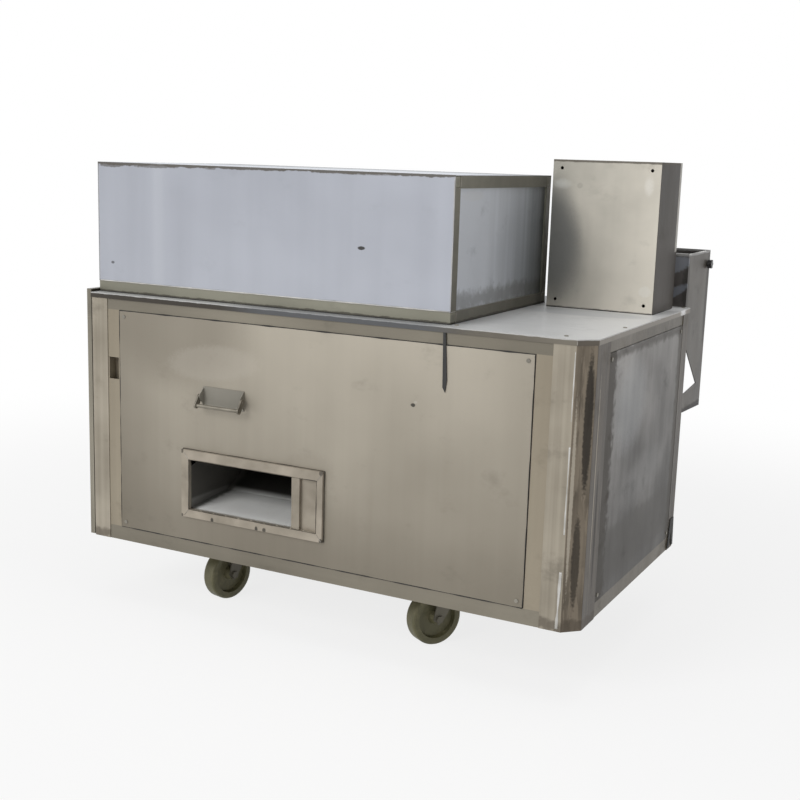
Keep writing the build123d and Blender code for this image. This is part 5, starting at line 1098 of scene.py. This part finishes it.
@dataclass
class ControlBox(Assembly):
    """The enclosure with its door and controls."""

    foot_mm: float = 890.6
    finishes: Finishes = {
        "control_box_shell": BOX,
        "control_box_door": BOX_DOOR,
        "control_gear": GEAR,
        "start_button": GREEN_CAP,
        "stop_button": RED_CAP,
        "emergency_stop": RED_STOP,
        "speed_knob": BLACK_KNOB,
        "door_latch": ZINC,
    }

    def build(self, workshop: Workshop) -> None:
        """Makes a line of painted shade along the box's foot, on the faces that show."""
        # Painted shade: a near-black bead where the box stands on the deck.
        foot = self.foot_mm
        shade_lines = [
            bead((1124, 579.5, foot), (1420, 579.5, foot), 1.4, 71),
            bead((1422.5, 582, foot), (1422.5, 757, foot), 1.4, 72),
        ]
        workshop.piece("box_foot_shade", shade_lines, SHADOW_GAP, "cabinet")


@dataclass
class Works(Assembly):
    """What works inside: the belt of moulds, the punch head, the drives, and the ways for fruit and pits."""

    rim_mm: float = 1038.9
    finishes: Finishes = {
        "conveyor_slats": MOULD,
        **dict.fromkeys(("conveyor_track", "bearing_housings", "head_shaft", "tail_shaft"), GROUND),
        **dict.fromkeys(("punch_plates", "guide_columns", "needle_beam", "needles", "crankshaft"), GROUND),
        **dict.fromkeys(("connecting_rod_front", "connecting_rod_rear", "motor_sprocket"), GROUND),
        "chains": CHAIN,
        "gear_motors": MOTOR,
        "brush_roller": BRUSH,
        "inner_chutes": CHUTE,
        "pit_drawer": BACK,
        "hopper": HOPPER,
        "hopper_knob": BLACK_KNOB,
    }

    def build(self, workshop: Workshop) -> None:
        """Makes light beads along the hopper's rims and the welds down its corners."""
        rim = self.rim_mm
        rims = [
            bead((x, 832, rim), (x, 1071, rim), 1.7, 80 + number) for number, x in enumerate((1091.5, 1444.5))
        ]
        workshop.piece("hopper_rims", rims, FILM_EDGE, "cabinet")
        feet = ((1093.6, 1070.6, 862.0), (1442.4, 1070.6, 862.0), (1442.4, 832.6, 905.0))
        runs = [weld(foot, (*foot[:2], rim - 2.9), 1.2, 90 + number) for number, foot in enumerate(feet)]
        workshop.piece("hopper_welds", runs, WELD, "cabinet")


@dataclass
class Castors(Assembly):
    """The four swivel castors."""

    finishes: Finishes = {
        "castor_plates": FORK,
        **{f"castor_fork_{corner}": FORK for corner in CASTOR_CORNERS},
        **{f"castor_wheel_{corner}": WHEEL for corner in CASTOR_CORNERS},
    }


# ---------------- studio
@dataclass(frozen=True)
class Lamp:
    """A large soft lamp that looks at a point."""

    name: str
    place: Triple
    target: Triple
    size: float
    watts: float

    def hang(self) -> None:
        """Puts the lamp in the scene."""
        data = bpy.data.lights.new(self.name, "AREA")
        data.size = self.size
        data.energy = self.watts
        made = bpy.data.objects.new(self.name, data)
        way = Vector(self.target) - Vector(self.place)
        made.matrix_world = Matrix.Translation(self.place) @ way.to_track_quat("-Z", "Y").to_matrix().to_4x4()
        bpy.context.collection.objects.link(made)


@dataclass(frozen=True)
class Camera:
    """The photograph's viewpoint: angles in degrees, and its focal length in pixels of an 800 pixel frame."""

    azimuth: float = 27.282
    elevation: float = 11.044
    roll: float = 1.806
    focal_px: float = 1240.9
    place_mm: Triple = (2340.7, -2648.5, 1280.8)
    frame_px: float = 800.0
    sensor_mm: float = 36.0

    def axes(self) -> tuple[Vector, Vector, Vector]:
        """The camera's right, up and backward directions, rolled about the last."""
        turn, lift, lean = (math.radians(a) for a in (self.azimuth, self.elevation, self.roll))
        back = Vector((math.sin(turn) * math.cos(lift), -math.cos(turn) * math.cos(lift), math.sin(lift)))
        right = Vector((math.cos(turn), math.sin(turn), 0.0))
        up = back.cross(right)
        return (
            math.cos(lean) * right + math.sin(lean) * up,
            -math.sin(lean) * right + math.cos(lean) * up,
            back,
        )

    def place(self) -> None:
        """Makes the camera and hands it to the scene."""
        data = bpy.data.cameras.new("photo_camera")
        data.sensor_width = self.sensor_mm
        data.lens = self.focal_px * self.sensor_mm / self.frame_px
        data.clip_end = 60.0
        made = bpy.data.objects.new("photo_camera", data)
        turned = Matrix(self.axes()).transposed().to_4x4()
        made.matrix_world = Matrix.Translation(at(*self.place_mm)) @ turned
        bpy.context.collection.objects.link(made)
        bpy.context.scene.camera = made


@dataclass
class Studio:
    """The pale floor, the white surroundings and the soft lamps.

    To the eye the floor's whiteness rises from its first value to its second between the two distances.
    """

    floor_half: float = 14.0
    floor_colour: Colour = (0.88, 0.88, 0.88)
    clear_from_to: tuple[float, float] = (1.3, 3.6)
    whiteness: tuple[float, float] = (0.80, 1.0)
    around: float = 0.36
    lamps: tuple[Lamp, ...] = (
        Lamp("key", (-2.3, -6.6, 4.3), (0.1, 0.0, 0.7), 3.8, 262.0),
        Lamp("top", (0.4, -0.4, 4.2), (0.2, 0.0, 0.9), 3.0, 42.0),
        Lamp("fill", (4.2, -1.2, 2.4), (0.3, 0.0, 0.6), 3.0, 6.0),
    )

    def white_for_rays(self, graph: Graph) -> Wire:
        """One for camera, glossy and transmission rays, and nought for the rest."""
        path = graph.node("ShaderNodeLightPath").outputs
        seen = graph.math("MAXIMUM", path["Is Camera Ray"], path["Is Glossy Ray"])
        return graph.math("MAXIMUM", seen, path["Is Transmission Ray"])

    def surround(self) -> None:
        """White to the eye and to metal, and a soft grey light to everything else."""
        world = bpy.data.worlds.new("surroundings")
        bpy.context.scene.world = world
        world.use_nodes = True
        graph = Graph(world.node_tree)
        soft, white = (
            graph.node("ShaderNodeBackground", {"Color": (1.0, 1.0, 1.0), "Strength": strength}).outputs[0]
            for strength in (self.around, 1.0)
        )
        mix = graph.node("ShaderNodeMixShader", {0: self.white_for_rays(graph), 1: soft, 2: white})
        graph.node("ShaderNodeOutputWorld", {"Surface": mix.outputs[0]})

    def floor(self) -> None:
        """A wide pale floor that keeps the machine's shadow and turns white away from it."""
        half = self.floor_half
        corners = np.array([[(-half, -half, 0.0), (half, -half, 0.0)], [(-half, half, 0.0), (half, half, 0.0)]])
        mesh = Surface(corners).mesh("floor")
        mesh.flip_normals()
        tree = Tree("pale_floor")
        far = tree.node("ShaderNodeVectorMath", {0: tree.place}, operation="LENGTH").outputs["Value"]
        weight = self.white_for_rays(tree) * tree.step(far, *self.clear_from_to, *self.whiteness)
        matt = tree.node("ShaderNodeBsdfDiffuse", {"Color": self.floor_colour}).outputs[0]
        glow = tree.node("ShaderNodeEmission", {"Strength": 1.0}).outputs[0]
        mix = tree.node("ShaderNodeMixShader", {0: weight, 1: matt, 2: glow})
        tree.node("ShaderNodeOutputMaterial", {"Surface": mix.outputs[0]})
        mesh.materials.append(tree.material)
        made = bpy.data.objects.new("floor", mesh)
        bpy.context.collection.objects.link(made)

    def set_up(self) -> None:
        """Builds the whole studio."""
        bpy.context.scene.view_settings.view_transform = "Standard"
        self.surround()
        self.floor()
        for lamp in self.lamps:
            lamp.hang()


def main() -> None:
    """Builds the scene in order and notes its size."""
    logging.basicConfig(level=logging.INFO, format="%(message)s")
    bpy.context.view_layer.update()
    Camera().place()
    Studio().set_up()
    workshop = Workshop()
    for assembly in (Cabinet(), Discharge(), Hood(), ControlBox(), Works(), Castors()):
        assembly.complete(workshop)
    LOG.info("%d pieces made", len(workshop.made))


if __name__ == "__main__":
    main()
